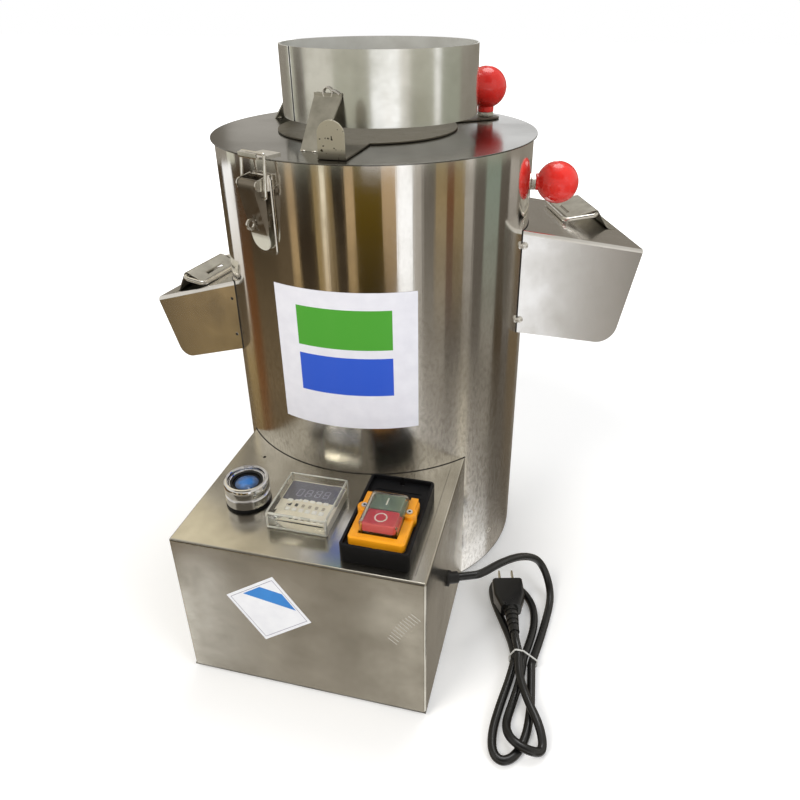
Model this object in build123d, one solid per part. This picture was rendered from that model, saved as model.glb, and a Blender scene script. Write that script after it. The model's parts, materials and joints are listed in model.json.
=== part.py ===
from build123d import *
import math
import os

os.makedirs("parts", exist_ok=True)

# Chestnut peeling machine: a sheet-steel drum with a rotor inside, a feed
# ring on its lid, two outlet hoods and a control box in front.
# Millimetres, +Z up, origin on the drum's axis at the floor, front towards -Y.

# Sheet and stock
sheet = 1.2
weld_gap = 0.05
fit = 0.05
slack = 0.3
past = 1.0  # how far a cutter runs past the face that it cuts

# Base and feet
foot_height = 4.0
foot_radius = 12.0
foot_tread_radius = 9.6
foot_inset = 18.0
rear_foot_spread = 42.0
base_thickness = 1.5

# Drum and lid
drum_radius = 140.0
drum_height = 418.5
lid_overhang = 3.0
lid_thickness = 1.2
spigot_depth = 14.0
spigot_gap = 0.6

# Control box
box_width = 210.0
box_front = 253.0
box_height = 144.5
box_bend = 2.0
wire_hole_width = 60.0
wire_hole_height = 40.0
wire_hole_rise = 55.0
spare_hole_x = -76.5
spare_hole_y = -135.4
spare_hole_radius = 1.5

# Feed ring on the lid
feed_x = 3.0
feed_y = 9.0
feed_radius = 85.5
feed_height = 57.0
feed_lift = 13.4
feed_hole_radius = 66.0
leg_width = 25.0
leg_foot_width = 18.0
leg_thickness = 1.5
leg_weld_height = 3.0
leg_rise = 22.5
leg_splay = 29.3
leg_bend = 2.0
leg_azimuths = (-102.0, 164.0, 78.0)

# Feed gate, swinging on the stud of the lid knob
gate_thickness = 1.5
gate_radius = 80.0
gate_x = -8.0
gate_y = 4.0
gate_ear_width = 26.0
gate_arm_x = 6.0
gate_arm_width = 22.0
gate_arm_reach = 131.0
gate_tab_width = 21.0
gate_tab_height = 28.0

# Ball knobs
knob_radius = 18.75
knob_neck_radius = 7.5
lid_knob_neck = 5.0
door_knob_neck = 2.4
stud_radius = 4.0
nut_across = 13.0
nut_height = 4.0
stud_end = 3.0
lid_knob_x = 86.5
lid_knob_y = 78.0

# Outlet hoods: direction, sideways offset, half width, overhang past the drum
# and rise above the deck of the outer top corner, fall of the roof, depth of
# the cheek, corner radius. Windows: rise of the lower and upper edge
right_hood = dict(azimuth=21.0, offset=0.0, half_width=71.0, overhang=95.3, rise=106.0,
                  fall=11.4, depth=96.4, corner=18.0)
left_hood = dict(azimuth=173.0, offset=55.2, half_width=42.2, overhang=51.2, rise=54.1,
                 fall=17.6, depth=64.5, corner=12.0)
hood_bend = 3.5
window_margin = 5.0
right_window_rise = (30.0, 116.0)
left_window_rise = (15.0, 62.0)
rivet_radius = 4.0
rivet_top_radius = 2.2
rivet_height = 1.8
rivet_inset = 13.0
rivet_gap = 1.5
cheek_hole_radius = 1.5
cheek_hole_inset = 15.0
cheek_hole_gap = 5.5

# Bail handles on the hoods: a sheet clip whose crest holds the hinge bar of a
# wire bail. Place along the roof's width, inset from its edge, reach of the bail
right_handle = dict(shift=13.5, inset=5.5, reach=30.0)
left_handle = dict(shift=4.5, inset=12.0, reach=18.5)
clip_length = 56.0
clip_sheet = 1.0
clip_tab = 8.0
clip_run = 16.0
clip_crest = 16.5
clip_leaf_end = 3.5
clip_tab_bend = 7.0
clip_slot_length = 25.0
clip_slot_width = 2.5
clip_slot_inset = 4.0
bail_radius = 2.1
bail_bend = 5.0
bail_taper = 2.0

# Discharge door inside the drum, moved by the side knob
door_sheet = 1.5
door_half_angle = 31.0
door_travel = 62.0
door_bottom_rise = 24.0
door_top_drop = 32.0
door_stud_azimuth = 8.0
door_stud_drop = 43.0
guide_wrap = 4.0
guide_lip = 4.0
guide_thickness = 1.5

# Drive: deck, motor, shaft, seal and peeling disc
chamber_depth = 205.0
deck_thickness = 3.0
motor_radius = 59.0
motor_length = 138.0
motor_flange_radius = 74.0
motor_flange = 8.0
motor_cap_radius = 35.4
motor_shoulder_radius = 50.1
motor_shoulder = 6.0
motor_taper = 22.0
motor_collar_radius = 53.1
motor_collar = 10.0
motor_fin_count = 16
motor_fin_depth = 4.0
motor_fin_width = 5.0
motor_fin_end = 2.0
motor_bolt_circle = 64.0
motor_bolt_radius = 4.0
motor_bolt_end = 2.0
shaft_radius = 8.0
shaft_in_motor = 60.0
shaft_rise = 14.0
seal_radius = 18.0
seal_height = 5.0
seal_brim = 3.0
seal_brim_height = 1.5
seal_lip = 4.0
disc_gap = 5.75
disc_thickness = 5.0
disc_lift = 17.0
disc_hub_radius = 22.0
ridge_count = 8
ridge_width = 8.0
ridge_height = 4.0
ridge_inner = 30.0
ridge_end = 4.0
ridge_round = 1.8
disc_nut_across = 24.0
disc_nut_height = 10.0
nut_dome_radius = 10.6
nut_dome_shoulder = 9.6
nut_dome_crown = 5.3
nut_dome_rise = 4.0
nut_dome_top = 5.0
liner_thickness = 3.0
liner_start = 125.0
liner_sweep = 210.0
liner_gap = 6.0

# Lid latches: a base plate with two ears, a lever that turns on a pin between
# them, a wire bail held by the lever, and a catch on the lid. Distances out are
# from the drum's wall
latch_azimuths = (-112.0, 124.0)
latch_plate_width = 22.0
latch_plate_height = 62.0
latch_plate_drop = 12.0
latch_plate_corner = 3.0
latch_sheet = 1.5
latch_pivot_out = 11.2
latch_pivot_drop = 17.3
latch_pin_radius = 2.0
latch_ear_radius = 4.3
latch_ear_root = 6.0
latch_ear_sheet = 1.2
latch_arm = 10.9
latch_arm_angle = -17.0
latch_wire_radius = 1.25
latch_wire_bend = 2.0
latch_wire_span = 25.0
lever_width = 18.0
lever_length = 39.0
lever_knuckle = 3.8
lever_front_out = 15.2
lever_front_drop = 5.0
lever_foot_out = 7.5
lever_foot_depth = 2.0
lever_pin_margin = 3.0
lever_tab = 15.0
latch_eye_radius = 4.6
latch_eye_wall = 2.0
latch_eye_rise = 9.0
latch_eye_stand = 5.0
latch_eye_room = 1.8
catch_width = 19.0
catch_inner = 14.0
catch_outer = 9.5
catch_lip = 3.0
catch_bar_gap = 4.2
catch_bar_lift = 0.95

# Push button on the control box
button_x = -63.7
button_y = -193.7
button_radius = 18.7
button_height = 22.7
button_collar_radius = 18.9
button_collar = 2.5
button_neck_radius = 15.0
button_neck = 20.0
button_block = 34.0
button_nut = 6.0
button_nut_across = 38.0
bezel_waist = 11.5
bezel_groove = 1.2
bezel_edge = 1.5
bezel_lip = 2.9
bezel_slope = 1.2
bezel_step = 3.5
lens_radius = 11.4
lens_height = 10.0
lens_edge = 2.0
lens_crown_radius = 9.1
lens_crown = 0.5
lens_recess = 4.0
lens_travel = 3.0

# Timer with its clear cover
timer_x = -8.4
timer_y = -196.0
timer_width = 48.0
timer_depth = 51.0
timer_height = 8.0
timer_body = 44.6
timer_body_depth = 72.0
timer_corner = 1.5
window_sink = 1.2
window_proud = 0.2
cover_corner = 2.0
cover_edge = 0.8
cover_wall = 1.5
cover_height = 16.0
cover_gap = 0.3
key_count = 6
key_size = 4.0
key_pitch = 6.15
key_y = -12.5
key_height = 1.2
key_travel = 0.8
key_root = 2.0
key_edge = 0.5
window_width = 43.0
window_depth = 21.0
window_y = 11.0
hinge_pin_radius = 0.8
hinge_barrel = 1.7
hinge_lug = 5.0
hinge_half_span = 16.0

# Stop and start switch
switch_x = 62.3
switch_y = -199.0
switch_width = 55.5
switch_depth = 90.0
switch_height = 16.0
switch_rim = 2.5
switch_pocket = 4.0
switch_corner = 4.0
switch_edge = 1.2
plate_y = -13.0
plate_width = 45.0
plate_depth = 52.0
plate_height = 8.0
plate_corner = 3.0
plate_edge = 1.2
boss_rise = 3.0
boss_radius = 5.6
boot_width = 31.0
boot_depth = 41.0
boot_rise = 9.5
boot_wall = 1.0
boot_corner = 4.0
boot_edge = 2.0
button_gap = 1.2
rocker_travel = 3.0
rocker_sink = 2.0
rocker_corner = 2.0
rocker_edge = 1.0
rocker_stem = 4.0
rocker_stem_length = 8.0
switch_body_width = 36.0
switch_body_depth = 62.0
switch_body_drop = 36.0
switch_screw_radius = 2.4
switch_screw_core = 1.4
switch_screw_head = 1.4
switch_screw_length = 5.0
switch_screw_x = 18.4
switch_screw_y = 7.0
base_screw_y = 41.0
base_screw_floor = 4.0
base_screw_head = 4.0

# Mains cord: diameter, wall outlet and the route to the hank
cord_radius = 3.6
outlet_y = -167.0
outlet_z = 71.0
outlet_angle = 22.0
grommet_radius = 7.0
grommet_flange = 2.0
grommet_nose = 8.0
grommet_nose_radius = 5.2
grommet_edge = 1.2
outlet_run = 20.0
bend_share = 0.45  # of the shorter run, taken up by the bend at its end
cord_route = (
    (148.0, -131.0, 65.0),
    (164.0, -106.0, 52.0),
    (178.0, -90.0, 37.4),
    (187.0, -88.0, 24.4),
    (194.0, -96.0, 11.8),
    (196.5, -110.0, 4.6),
    (194.0, -134.0, 3.6),
    (190.5, -158.0, 3.6),
)

# Hank: three lanes side by side at the tied waist, and the loops between them.
# Each loop goes up or down the floor, and leans and swells as it goes round
waist_x = 178.0
waist_y = -184.7
lane = 7.8
last_lane = -4.0
waist_lift = 1.8
hank_layer = 8.3
lower_left_loop = dict(toward=-1, length=92.6, half_width=9.3, side=1, lean=-7.0, pinch=2)
upper_loop = dict(toward=1, length=90.0, half_width=17.0, side=-1, lean=-24.0, pinch=2)
lower_right_loop = dict(toward=-1, length=83.5, half_width=15.2, side=-1, lean=14.5, pinch=4)
crossing_turn = 0.9
crossing_spread = 0.6
climb_turn = 1.12
climb_spread = 0.3
tie_radius = 0.7
tie_bend = 2.0
tie_floor_gap = 0.1

# Plug lying on the hank
plug_x = 167.6
plug_y = -165.0
plug_z = 16.1
plug_heading = 104.0
plug_width = 29.0
plug_thickness = 17.0
plug_body_length = 24.0
plug_relief_length = 34.0
plug_relief_radius = 4.6
plug_relief_collar = 3.0
plug_shoulder = 14.0
plug_overlap = 8.0
plug_corner = 3.5
plug_neck_width = 19.1
plug_taper = 1.0
plug_groove_count = 4
plug_groove_start = 6.0
plug_groove_pitch = 5.0
plug_groove_width = 1.6
plug_groove_depth = 0.6
prong_spacing = 12.7
prong_width = 6.4
prong_thickness = 1.5
prong_length = 16.0
prong_point = 1.2

# Heights that follow from the sizes above
base_top = foot_height + base_thickness
drum_top = base_top + drum_height
lid_top = drum_top + lid_thickness
lid_radius = drum_radius + lid_overhang
drum_inner = drum_radius - sheet
deck_z = drum_top - chamber_depth
deck_top = deck_z + deck_thickness
disc_z = deck_z + disc_lift
disc_radius = drum_inner - weld_gap - liner_thickness - disc_gap
liner_top = drum_top - spigot_depth - liner_gap
door_bottom = deck_top + door_bottom_rise
door_top = drum_top - door_top_drop
door_stud_z = drum_top - door_stud_drop
latch_plate_top = drum_top - latch_plate_drop
latch_pivot_z = drum_top - latch_pivot_drop
box_top = base_top + box_height
ring_bottom = lid_top + feed_lift
gate_z = lid_top + slack
stud_seat = gate_z + gate_thickness + slack
disc_top = disc_z + disc_thickness

BOTTOM = (Align.CENTER, Align.CENTER, Align.MIN)
TOP = (Align.CENTER, Align.CENTER, Align.MAX)


def turned(azimuth):
    return Rot(0, 0, azimuth)


def disc(radius, z0, z1):
    return Pos(0, 0, z0) * Cylinder(radius, z1 - z0, align=BOTTOM)


def tube(outer, inner, z0, z1):
    return disc(outer, z0, z1) - disc(inner, z0, z1)


def block(x0, x1, y0, y1, z0, z1):
    return Pos((x0 + x1) / 2, (y0 + y1) / 2, z0) * Box(x1 - x0, y1 - y0, z1 - z0, align=BOTTOM)


def sector(points, start, sweep_angle):
    """Solid of a profile in radius and height, turned about the drum's axis."""
    face = make_face(Polyline(*[(r, 0, z) for r, z in points], close=True))
    return turned(start) * revolve(face, Axis.Z, revolution_arc=sweep_angle)


def turned_profile(points):
    face = make_face(Polyline(*[(r, 0, z) for r, z in points], close=True))
    return revolve(face, Axis.Z)


def side_plate(points, y0, y1):
    """Profile in the XZ plane, thick from y0 to y1."""
    face = make_face(Polyline(*[(x, 0, z) for x, z in points], close=True))
    return Pos(0, y1, 0) * extrude(face, y1 - y0, dir=(0, -1, 0))


def strip_sides(points, thickness):
    """The two faces of a sheet strip, half its thickness either side of its middle line."""
    line = [Vector(x, z) for x, z in points]
    ways = [(b - a).normalized() for a, b in zip(line, line[1:])]
    left, right = [], []
    for i, here in enumerate(line):
        before, after = ways[max(i - 1, 0)], ways[min(i, len(ways) - 1)]
        across = (before + after).normalized().rotate(Axis.Z, 90)
        mitre = across * (thickness / 2 / across.dot(before.rotate(Axis.Z, 90)))
        left.append(here + mitre)
        right.append(here - mitre)
    return ways, left, right


def bent_strip(points, bends, thickness, width):
    """Sheet strip along points in the XZ plane, with an inside radius at each bend."""
    ways, left, right = strip_sides(points, thickness)
    face = make_face(Polyline(*left, *reversed(right), close=True))
    for i, bend in enumerate(bends, 1):
        turns_left = ways[i - 1].cross(ways[i]).Z > 0
        for corner, inside in ((left[i], turns_left), (right[i], not turns_left)):
            vertex = face.vertices().sort_by_distance(corner)[0]
            face = fillet(vertex, bend if inside else bend + thickness)
    return extrude(Plane.XZ * face, width / 2, both=True)


def bend_centre(points, i, bend, thickness):
    """Centre of the bend at one point of a strip's middle line."""
    ways, _, _ = strip_sides(points, thickness)
    half_turn = math.radians(ways[i - 1].get_angle(ways[i])) / 2
    inwards = (ways[i] - ways[i - 1]).normalized()
    return Vector(*points[i]) + inwards * ((bend + thickness / 2) / math.cos(half_turn))


def hexagon(across, z0, z1):
    return Pos(0, 0, z0) * extrude(RegularPolygon(across / 2, 6, major_radius=False), z1 - z0)


def rod(points, radius, corner):
    """Round wire along straight runs with one bend radius."""
    path = FilletPolyline(*points, radius=corner)
    return sweep(Plane(path @ 0, z_dir=path % 0) * Circle(radius), path=path)


# Base


def box_outline():
    return Pos(0, -box_front / 2) * Rectangle(box_width, box_front)


def make_base_plate():
    return Pos(0, 0, foot_height) * extrude(Circle(drum_radius) + box_outline(), base_thickness)


def make_rubber_feet():
    front = (box_width / 2 - foot_inset, foot_inset - box_front)
    reach = drum_radius - foot_inset
    rear = (reach * math.sin(math.radians(rear_foot_spread)),
            reach * math.cos(math.radians(rear_foot_spread)))
    foot = Cone(foot_tread_radius, foot_radius, foot_height, align=BOTTOM)
    # One more foot under the motor, on the drum's axis
    return [foot] + [Pos(side * x, y, 0) * foot for x, y in (front, rear) for side in (-1, 1)]


def make_control_box():
    half = box_width / 2
    shell = block(-half, half, -box_front, 0, base_top, box_top)
    bends = shell.edges().group_by(Axis.Y)[0] + shell.faces().sort_by(Axis.Z)[-1].edges().filter_by(Axis.Y)
    bends = [e for e in bends if e.center().Z > base_top + past]
    shell = fillet(bends, box_bend)
    shell -= block(sheet - half, half - sheet, sheet - box_front, past, base_top - past, box_top - sheet)
    shell -= disc(drum_radius + weld_gap, base_top - past, box_top + past)
    shell -= Pos(button_x, button_y, box_top) * Cylinder(button_neck_radius + fit, 4 * sheet)
    shell -= Pos(timer_x, timer_y, box_top) * Box(timer_body + 2 * fit, timer_body + 2 * fit, 4 * sheet)
    shell -= Pos(switch_x, switch_y, box_top) * Box(switch_body_width + 2 * fit,
                                                    switch_body_depth + 2 * fit, 4 * sheet)
    shell -= Pos(spare_hole_x, spare_hole_y, box_top) * Cylinder(spare_hole_radius, 4 * sheet)
    shell -= Pos(half, outlet_y, outlet_z) * Rot(0, 90, 0) * Cylinder(grommet_nose_radius + fit, 4 * sheet)
    return shell


# Drum and lid


def hood_window(hood, rises):
    inner = hood["half_width"] - sheet - window_margin
    low, high = [deck_top + rise for rise in rises]
    return turned(hood["azimuth"]) * block(0, drum_radius + past, hood["offset"] - inner,
                                           hood["offset"] + inner, low, high)


def door_slot():
    half = stud_radius + slack
    wall = ((drum_inner - sheet, door_stud_z - half), (drum_radius + sheet, door_stud_z - half),
            (drum_radius + sheet, door_stud_z + half), (drum_inner - sheet, door_stud_z + half))
    slot = sector(wall, door_stud_azimuth, door_travel)
    for azimuth in (door_stud_azimuth, door_stud_azimuth + door_travel):
        slot += turned(azimuth) * Pos(drum_radius, 0, door_stud_z) * Rot(0, 90, 0) * Cylinder(half, 4 * sheet)
    return slot


def make_drum_shell():
    shell = tube(drum_radius, drum_inner, base_top, drum_top)
    shell -= hood_window(right_hood, right_window_rise)
    shell -= hood_window(left_hood, left_window_rise)
    shell -= door_slot()
    wires = base_top + wire_hole_rise
    shell -= block(-wire_hole_width / 2, wire_hole_width / 2, -drum_radius - past, 0, wires,
                   wires + wire_hole_height)
    return shell


def make_lid_plate():
    lid = disc(lid_radius, drum_top, lid_top)
    outer = drum_inner - spigot_gap
    lid += tube(outer, outer - sheet, drum_top - spigot_depth, drum_top)
    lid -= Pos(feed_x, feed_y, 0) * disc(feed_hole_radius, drum_top - past, lid_top + past)
    lid -= Pos(lid_knob_x, lid_knob_y, 0) * disc(stud_radius + fit, drum_top - past, lid_top + past)
    return lid


def make_hopper_ring():
    ring = tube(feed_radius, feed_radius - sheet, ring_bottom, ring_bottom + feed_height)
    return Pos(feed_x, feed_y, 0) * ring


def make_hopper_legs():
    bend_z = ring_bottom + leg_rise
    middle = feed_radius + weld_gap + leg_thickness / 2
    fall = (bend_z - lid_top) / leg_splay
    run_out = leg_splay + 2 * leg_thickness
    # Strip welded flat to the ring, splayed out and cut off level on the lid
    line = ((middle, bend_z + leg_weld_height), (middle, bend_z), (middle + run_out, bend_z - fall * run_out))
    leg = bent_strip(line, (leg_bend,), leg_thickness, leg_width)
    foot = middle + leg_splay
    taper = Polyline((middle, leg_width / 2), (foot, leg_foot_width / 2), (foot + run_out, leg_foot_width / 2),
                     (foot + run_out, -leg_foot_width / 2), (foot, -leg_foot_width / 2),
                     (middle, -leg_width / 2), (0, -leg_width / 2), (0, leg_width / 2), close=True)
    leg = leg & Pos(0, 0, lid_top) * extrude(make_face(taper), feed_height + feed_lift)
    leg -= disc(feed_radius + weld_gap, lid_top, bend_z + 2 * leg_weld_height)
    return [Pos(feed_x, feed_y, 0) * turned(azimuth) * leg for azimuth in leg_azimuths]


def make_feed_gate():
    plate = Pos(gate_x, gate_y) * Circle(gate_radius)
    pivot = Vector(lid_knob_x, lid_knob_y)
    centre = Vector(gate_x, gate_y)
    heading = math.degrees(math.atan2(pivot.Y - centre.Y, pivot.X - centre.X))
    span = (pivot - centre).length
    middle = (pivot + centre) * 0.5
    plate += Pos(middle.X, middle.Y) * Rot(0, 0, heading) * Rectangle(span, gate_ear_width)
    plate += Pos(pivot.X, pivot.Y) * Circle(gate_ear_width / 2)
    plate += Pos(gate_arm_x, (gate_y - gate_arm_reach) / 2) * Rectangle(gate_arm_width, gate_arm_reach + gate_y)
    plate -= Pos(pivot.X, pivot.Y) * Circle(stud_radius + fit)
    gate = Pos(0, 0, gate_z) * extrude(plate, gate_thickness)
    # Finger tab turned up at the end of the arm, with a round top
    half = gate_tab_width / 2
    straight = gate_tab_height - half
    tab = Pos(0, straight / 2) * Rectangle(gate_tab_width, straight) + Pos(0, straight) * Circle(half)
    tab = extrude(tab, gate_thickness)
    gate += Pos(gate_arm_x, gate_thickness - gate_arm_reach, gate_z) * Rot(90, 0, 0) * tab
    return gate


def make_lid_catches():
    half = latch_sheet / 2
    top = lid_top + latch_sheet + catch_lip
    line = ((-catch_inner, lid_top + half), (catch_outer + half, lid_top + half), (catch_outer + half, top))
    catch = bent_strip(line, (fit,), latch_sheet, catch_width)
    return [turned(azimuth) * Pos(drum_radius, 0, 0) * catch for azimuth in latch_azimuths]


# Ball knobs on their studs


def ball_rise(neck):
    """Height of the ball's centre over the seat of its neck."""
    return neck + math.sqrt(knob_radius ** 2 - knob_neck_radius ** 2)


def ball_knob(seat, neck):
    """Ball with a short neck, standing on a seat height, bored for its stud."""
    centre = seat + ball_rise(neck)
    ball = Pos(0, 0, centre) * Sphere(knob_radius) + disc(knob_neck_radius, seat, centre)
    return ball - disc(stud_radius + fit, seat - past, centre)


def stud_with_nut(bottom, nut_seat, top):
    return disc(stud_radius, bottom, top) + hexagon(nut_across, nut_seat, nut_seat + nut_height)


def make_lid_knob():
    return Pos(lid_knob_x, lid_knob_y, 0) * ball_knob(stud_seat + nut_height, lid_knob_neck)


def make_lid_knob_stud():
    top = stud_seat + nut_height + ball_rise(lid_knob_neck) - slack
    stud = stud_with_nut(drum_top - nut_height - stud_end, stud_seat, top)
    stud += hexagon(nut_across, drum_top - nut_height, drum_top)
    return Pos(lid_knob_x, lid_knob_y, 0) * stud


def door_stud_frame():
    return turned(door_stud_azimuth) * Pos(0, 0, door_stud_z) * Rot(0, 90, 0)


def make_door_knob():
    return door_stud_frame() * ball_knob(drum_radius + slack + nut_height, door_knob_neck)


def make_door_stud():
    inner = drum_inner - slack - door_sheet
    nut_seat = drum_radius + slack
    top = nut_seat + nut_height + ball_rise(door_knob_neck) - slack
    stud = stud_with_nut(inner - stud_end, nut_seat, top)
    stud += disc(nut_across / 2, inner - stud_end, inner - slack)
    return door_stud_frame() * stud


def make_discharge_door():
    outer = drum_inner - slack
    inner = outer - door_sheet
    plate = ((inner, door_bottom), (outer, door_bottom), (outer, door_top), (inner, door_top))
    door = sector(plate, right_hood["azimuth"] - door_half_angle, 2 * door_half_angle)
    return door - door_stud_frame() * disc(stud_radius + fit, inner - 2 * past, outer + 2 * past)


def make_door_guides():
    wall = drum_inner - weld_gap
    face = drum_inner - 2 * slack - door_sheet
    start = right_hood["azimuth"] - door_half_angle - guide_wrap
    wrap = 2 * door_half_angle + door_travel + 2 * guide_wrap
    rails = []
    for edge, away in ((door_bottom, -1), (door_top, 1)):
        profile = ((wall, edge + away * slack), (wall, edge + away * (slack + guide_thickness)),
                   (face - guide_thickness, edge + away * (slack + guide_thickness)),
                   (face - guide_thickness, edge - away * guide_lip), (face, edge - away * guide_lip),
                   (face, edge + away * slack))
        rails.append(sector(profile, start, wrap))
    return rails


# Outlet hoods and their handles


def hood_reach(hood):
    return drum_radius + hood["overhang"]


def hood_frame(hood):
    """Origin at the outer top edge, X out along the roof, Z square to the roof."""
    return (turned(hood["azimuth"]) * Pos(hood_reach(hood), hood["offset"], deck_z + hood["rise"])
            * Rot(0, hood["fall"], 0))


def make_hood(hood):
    half, depth = hood["half_width"], hood["depth"]
    roof_length = hood_reach(hood)
    shell = block(-roof_length, 0, -half, half, -depth, 0)
    shell = fillet(shell.edges().filter_by(Axis.X).group_by(Axis.Z)[-1], hood_bend)
    ends = [e for e in shell.edges().filter_by(Axis.Y) if e.center().X > -past]
    shell = fillet(ShapeList(ends).sort_by(Axis.Z)[0], hood["corner"])
    hollow = block(-roof_length - past, past, sheet - half, half - sheet, -depth - past, -sheet)
    shell -= fillet(hollow.edges().filter_by(Axis.X).group_by(Axis.Z)[-1], hood_bend - sheet)
    shell = hood_frame(hood) * shell
    return shell - disc(drum_radius + weld_gap, 0, drum_top)


def seam_spots(hood, gap, inset):
    """Places on both cheeks, a gap out from the drum's wall, each facing out of its cheek."""
    spots = []
    for side in (-1, 1):
        edge = hood["offset"] + side * hood["half_width"]
        along = math.sqrt(drum_radius ** 2 - edge ** 2)
        along_roof = (along - hood_reach(hood)) / math.cos(math.radians(hood["fall"]))
        for drop in (inset, hood["depth"] - inset):
            lean = drop * math.tan(math.radians(hood["fall"]))
            spot = Pos(along_roof + lean + gap, side * hood["half_width"], -drop)
            spots.append(hood_frame(hood) * spot * Rot(-90 * side, 0, 0))
    return spots


def make_hood_rivets():
    head = Cone(rivet_radius, rivet_top_radius, rivet_height, align=BOTTOM)
    wall = disc(drum_radius + weld_gap, 0, drum_top)
    return [spot * head - wall for spot in seam_spots(right_hood, rivet_gap, rivet_inset)]


def make_left_hood():
    hood = make_hood(left_hood)
    for spot in seam_spots(left_hood, cheek_hole_gap, cheek_hole_inset):
        hood -= spot * Cylinder(cheek_hole_radius, 4 * sheet)
    return hood


def clip_line(handle):
    """Middle line of the clip's sheet on the roof: tab, rise to the crest, leaf."""
    half = clip_sheet / 2
    root = -handle["inset"] - clip_tab
    crest = root - clip_run
    leaf_end = crest - handle["reach"] + 2 * bail_radius
    return ((-handle["inset"], half), (root, half), (crest, clip_crest), (leaf_end, clip_leaf_end))


def bail_hinge(handle):
    """Centre of the hinge bar under the crest, as distance out and height over the roof."""
    return bend_centre(clip_line(handle), 2, bail_radius + slack, clip_sheet)


def make_handle_clip(hood, handle):
    line = clip_line(handle)
    clip = bent_strip(line, (clip_tab_bend, bail_radius + slack), clip_sheet, clip_length)
    slot = Box(clip_slot_width, clip_slot_length, clip_crest)
    clip -= Pos(line[3][0] + clip_slot_inset, 0, clip_leaf_end) * slot
    return hood_frame(hood) * Pos(0, handle["shift"], 0) * clip


def make_handle_bail(hood, handle):
    hinge = bail_hinge(handle)
    half = clip_length / 2 + bail_bend + slack
    inner = hinge.X - handle["reach"]
    low = bail_radius + slack
    corners = ((hinge.X, half, hinge.Y), (inner, half - bail_taper, low), (inner, bail_taper - half, low),
               (hinge.X, -half, hinge.Y))
    path = FilletPolyline(*corners, radius=bail_bend, close=True)
    wire = sweep(Plane(path @ 0, z_dir=path % 0) * Circle(bail_radius), path=path)
    return hood_frame(hood) * Pos(0, handle["shift"], 0) * wire


# Drive


def make_chamber_deck():
    deck = disc(drum_inner - weld_gap, deck_z, deck_top)
    deck -= disc(seal_radius + fit, deck_z - past, deck_top + past)
    for bolt in bolt_places():
        deck -= bolt * disc(motor_bolt_radius + fit, deck_z - past, deck_top + past)
    return deck


def bolt_places():
    return [turned(45 + 90 * i) * Pos(motor_bolt_circle, 0, 0) for i in range(4)]


def make_motor_housing():
    bottom = deck_z - motor_length
    flange = deck_z - motor_flange
    core = motor_radius - motor_fin_depth
    body = turned_profile(((0, bottom), (motor_cap_radius, bottom),
                           (motor_shoulder_radius, bottom + motor_shoulder),
                           (core, bottom + motor_taper), (core, flange - motor_collar),
                           (motor_collar_radius, flange), (motor_flange_radius, flange),
                           (motor_flange_radius, deck_z), (0, deck_z)))
    fin = block(core - motor_fin_depth, motor_radius, -motor_fin_width / 2, motor_fin_width / 2,
                bottom + motor_taper, flange - motor_collar - motor_fin_end)
    for i in range(motor_fin_count):
        body += turned(360 * i / motor_fin_count) * fin
    body -= disc(shaft_radius + fit, deck_z - shaft_in_motor - slack, deck_z + past)
    for bolt in bolt_places():
        body -= bolt * disc(motor_bolt_radius + fit, flange - past, deck_z + past)
    return body


def make_motor_bolts():
    low = deck_z - motor_flange - nut_height
    bolt = disc(motor_bolt_radius, low - motor_bolt_end, deck_top)
    bolt += hexagon(nut_across, deck_top, deck_top + nut_height) + hexagon(nut_across, low, low + nut_height)
    return [place * bolt for place in bolt_places()]


def make_motor_shaft():
    return disc(shaft_radius, deck_z - shaft_in_motor, disc_top + shaft_rise)


def make_shaft_seal():
    bore = shaft_radius + fit
    brim = seal_radius + seal_brim
    return turned_profile(((bore, deck_z + slack), (seal_radius, deck_z + slack), (seal_radius, deck_top),
                           (brim, deck_top), (brim, deck_top + seal_brim_height),
                           (shaft_radius + seal_lip, deck_top + seal_height), (bore, deck_top + seal_height)))


def make_peeling_disc():
    bore = shaft_radius + fit / 2
    hub_bottom = deck_top + seal_height + slack
    plate = turned_profile(((bore, hub_bottom), (disc_hub_radius, hub_bottom), (disc_hub_radius, disc_z),
                            (disc_radius, disc_z), (disc_radius, disc_top), (bore, disc_top)))
    ridge = block(ridge_inner, disc_radius - ridge_end, -ridge_width / 2, ridge_width / 2, disc_top,
                  disc_top + ridge_height)
    ridge = fillet(ridge.edges().filter_by(Axis.X).group_by(Axis.Z)[-1], ridge_round)
    for i in range(ridge_count):
        plate += turned(360 * i / ridge_count) * ridge
    return plate


def make_disc_nut():
    shaft_top = disc_top + shaft_rise
    shoulder = disc_top + disc_nut_height - slack
    nut = hexagon(disc_nut_across, disc_top, disc_top + disc_nut_height)
    nut += turned_profile(((0, shoulder), (nut_dome_radius, shoulder), (nut_dome_shoulder, shaft_top),
                           (nut_dome_crown, shaft_top + nut_dome_rise), (0, shaft_top + nut_dome_top)))
    return nut - disc(shaft_radius + fit / 2, disc_top - past, shaft_top + slack)


def make_wall_liner():
    outer = drum_inner - weld_gap
    inner = outer - liner_thickness
    low = deck_top
    profile = ((inner, low), (outer, low), (outer, liner_top), (inner, liner_top))
    return sector(profile, liner_start, liner_sweep) - hood_window(left_hood, left_window_rise)


# Lid latch, in a frame with X out of the drum's wall and Y along it


def latch_frame(azimuth):
    return turned(azimuth) * Pos(drum_radius, 0, 0)


def cross_bar(out, z, radius, length):
    """Cylinder along Y at a distance out and a height."""
    return Pos(out, 0, z) * Rot(90, 0, 0) * Cylinder(radius, length)


def latch_pin():
    """Where the bail's ends sit in the closed lever."""
    angle = math.radians(latch_arm_angle)
    return latch_pivot_out + latch_arm * math.sin(angle), latch_pivot_z - latch_arm * math.cos(angle)


def lever_ends():
    """Heights of the top and the foot of the lever's sloping front."""
    return latch_pivot_z - lever_front_drop, latch_pivot_z - lever_length


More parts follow.
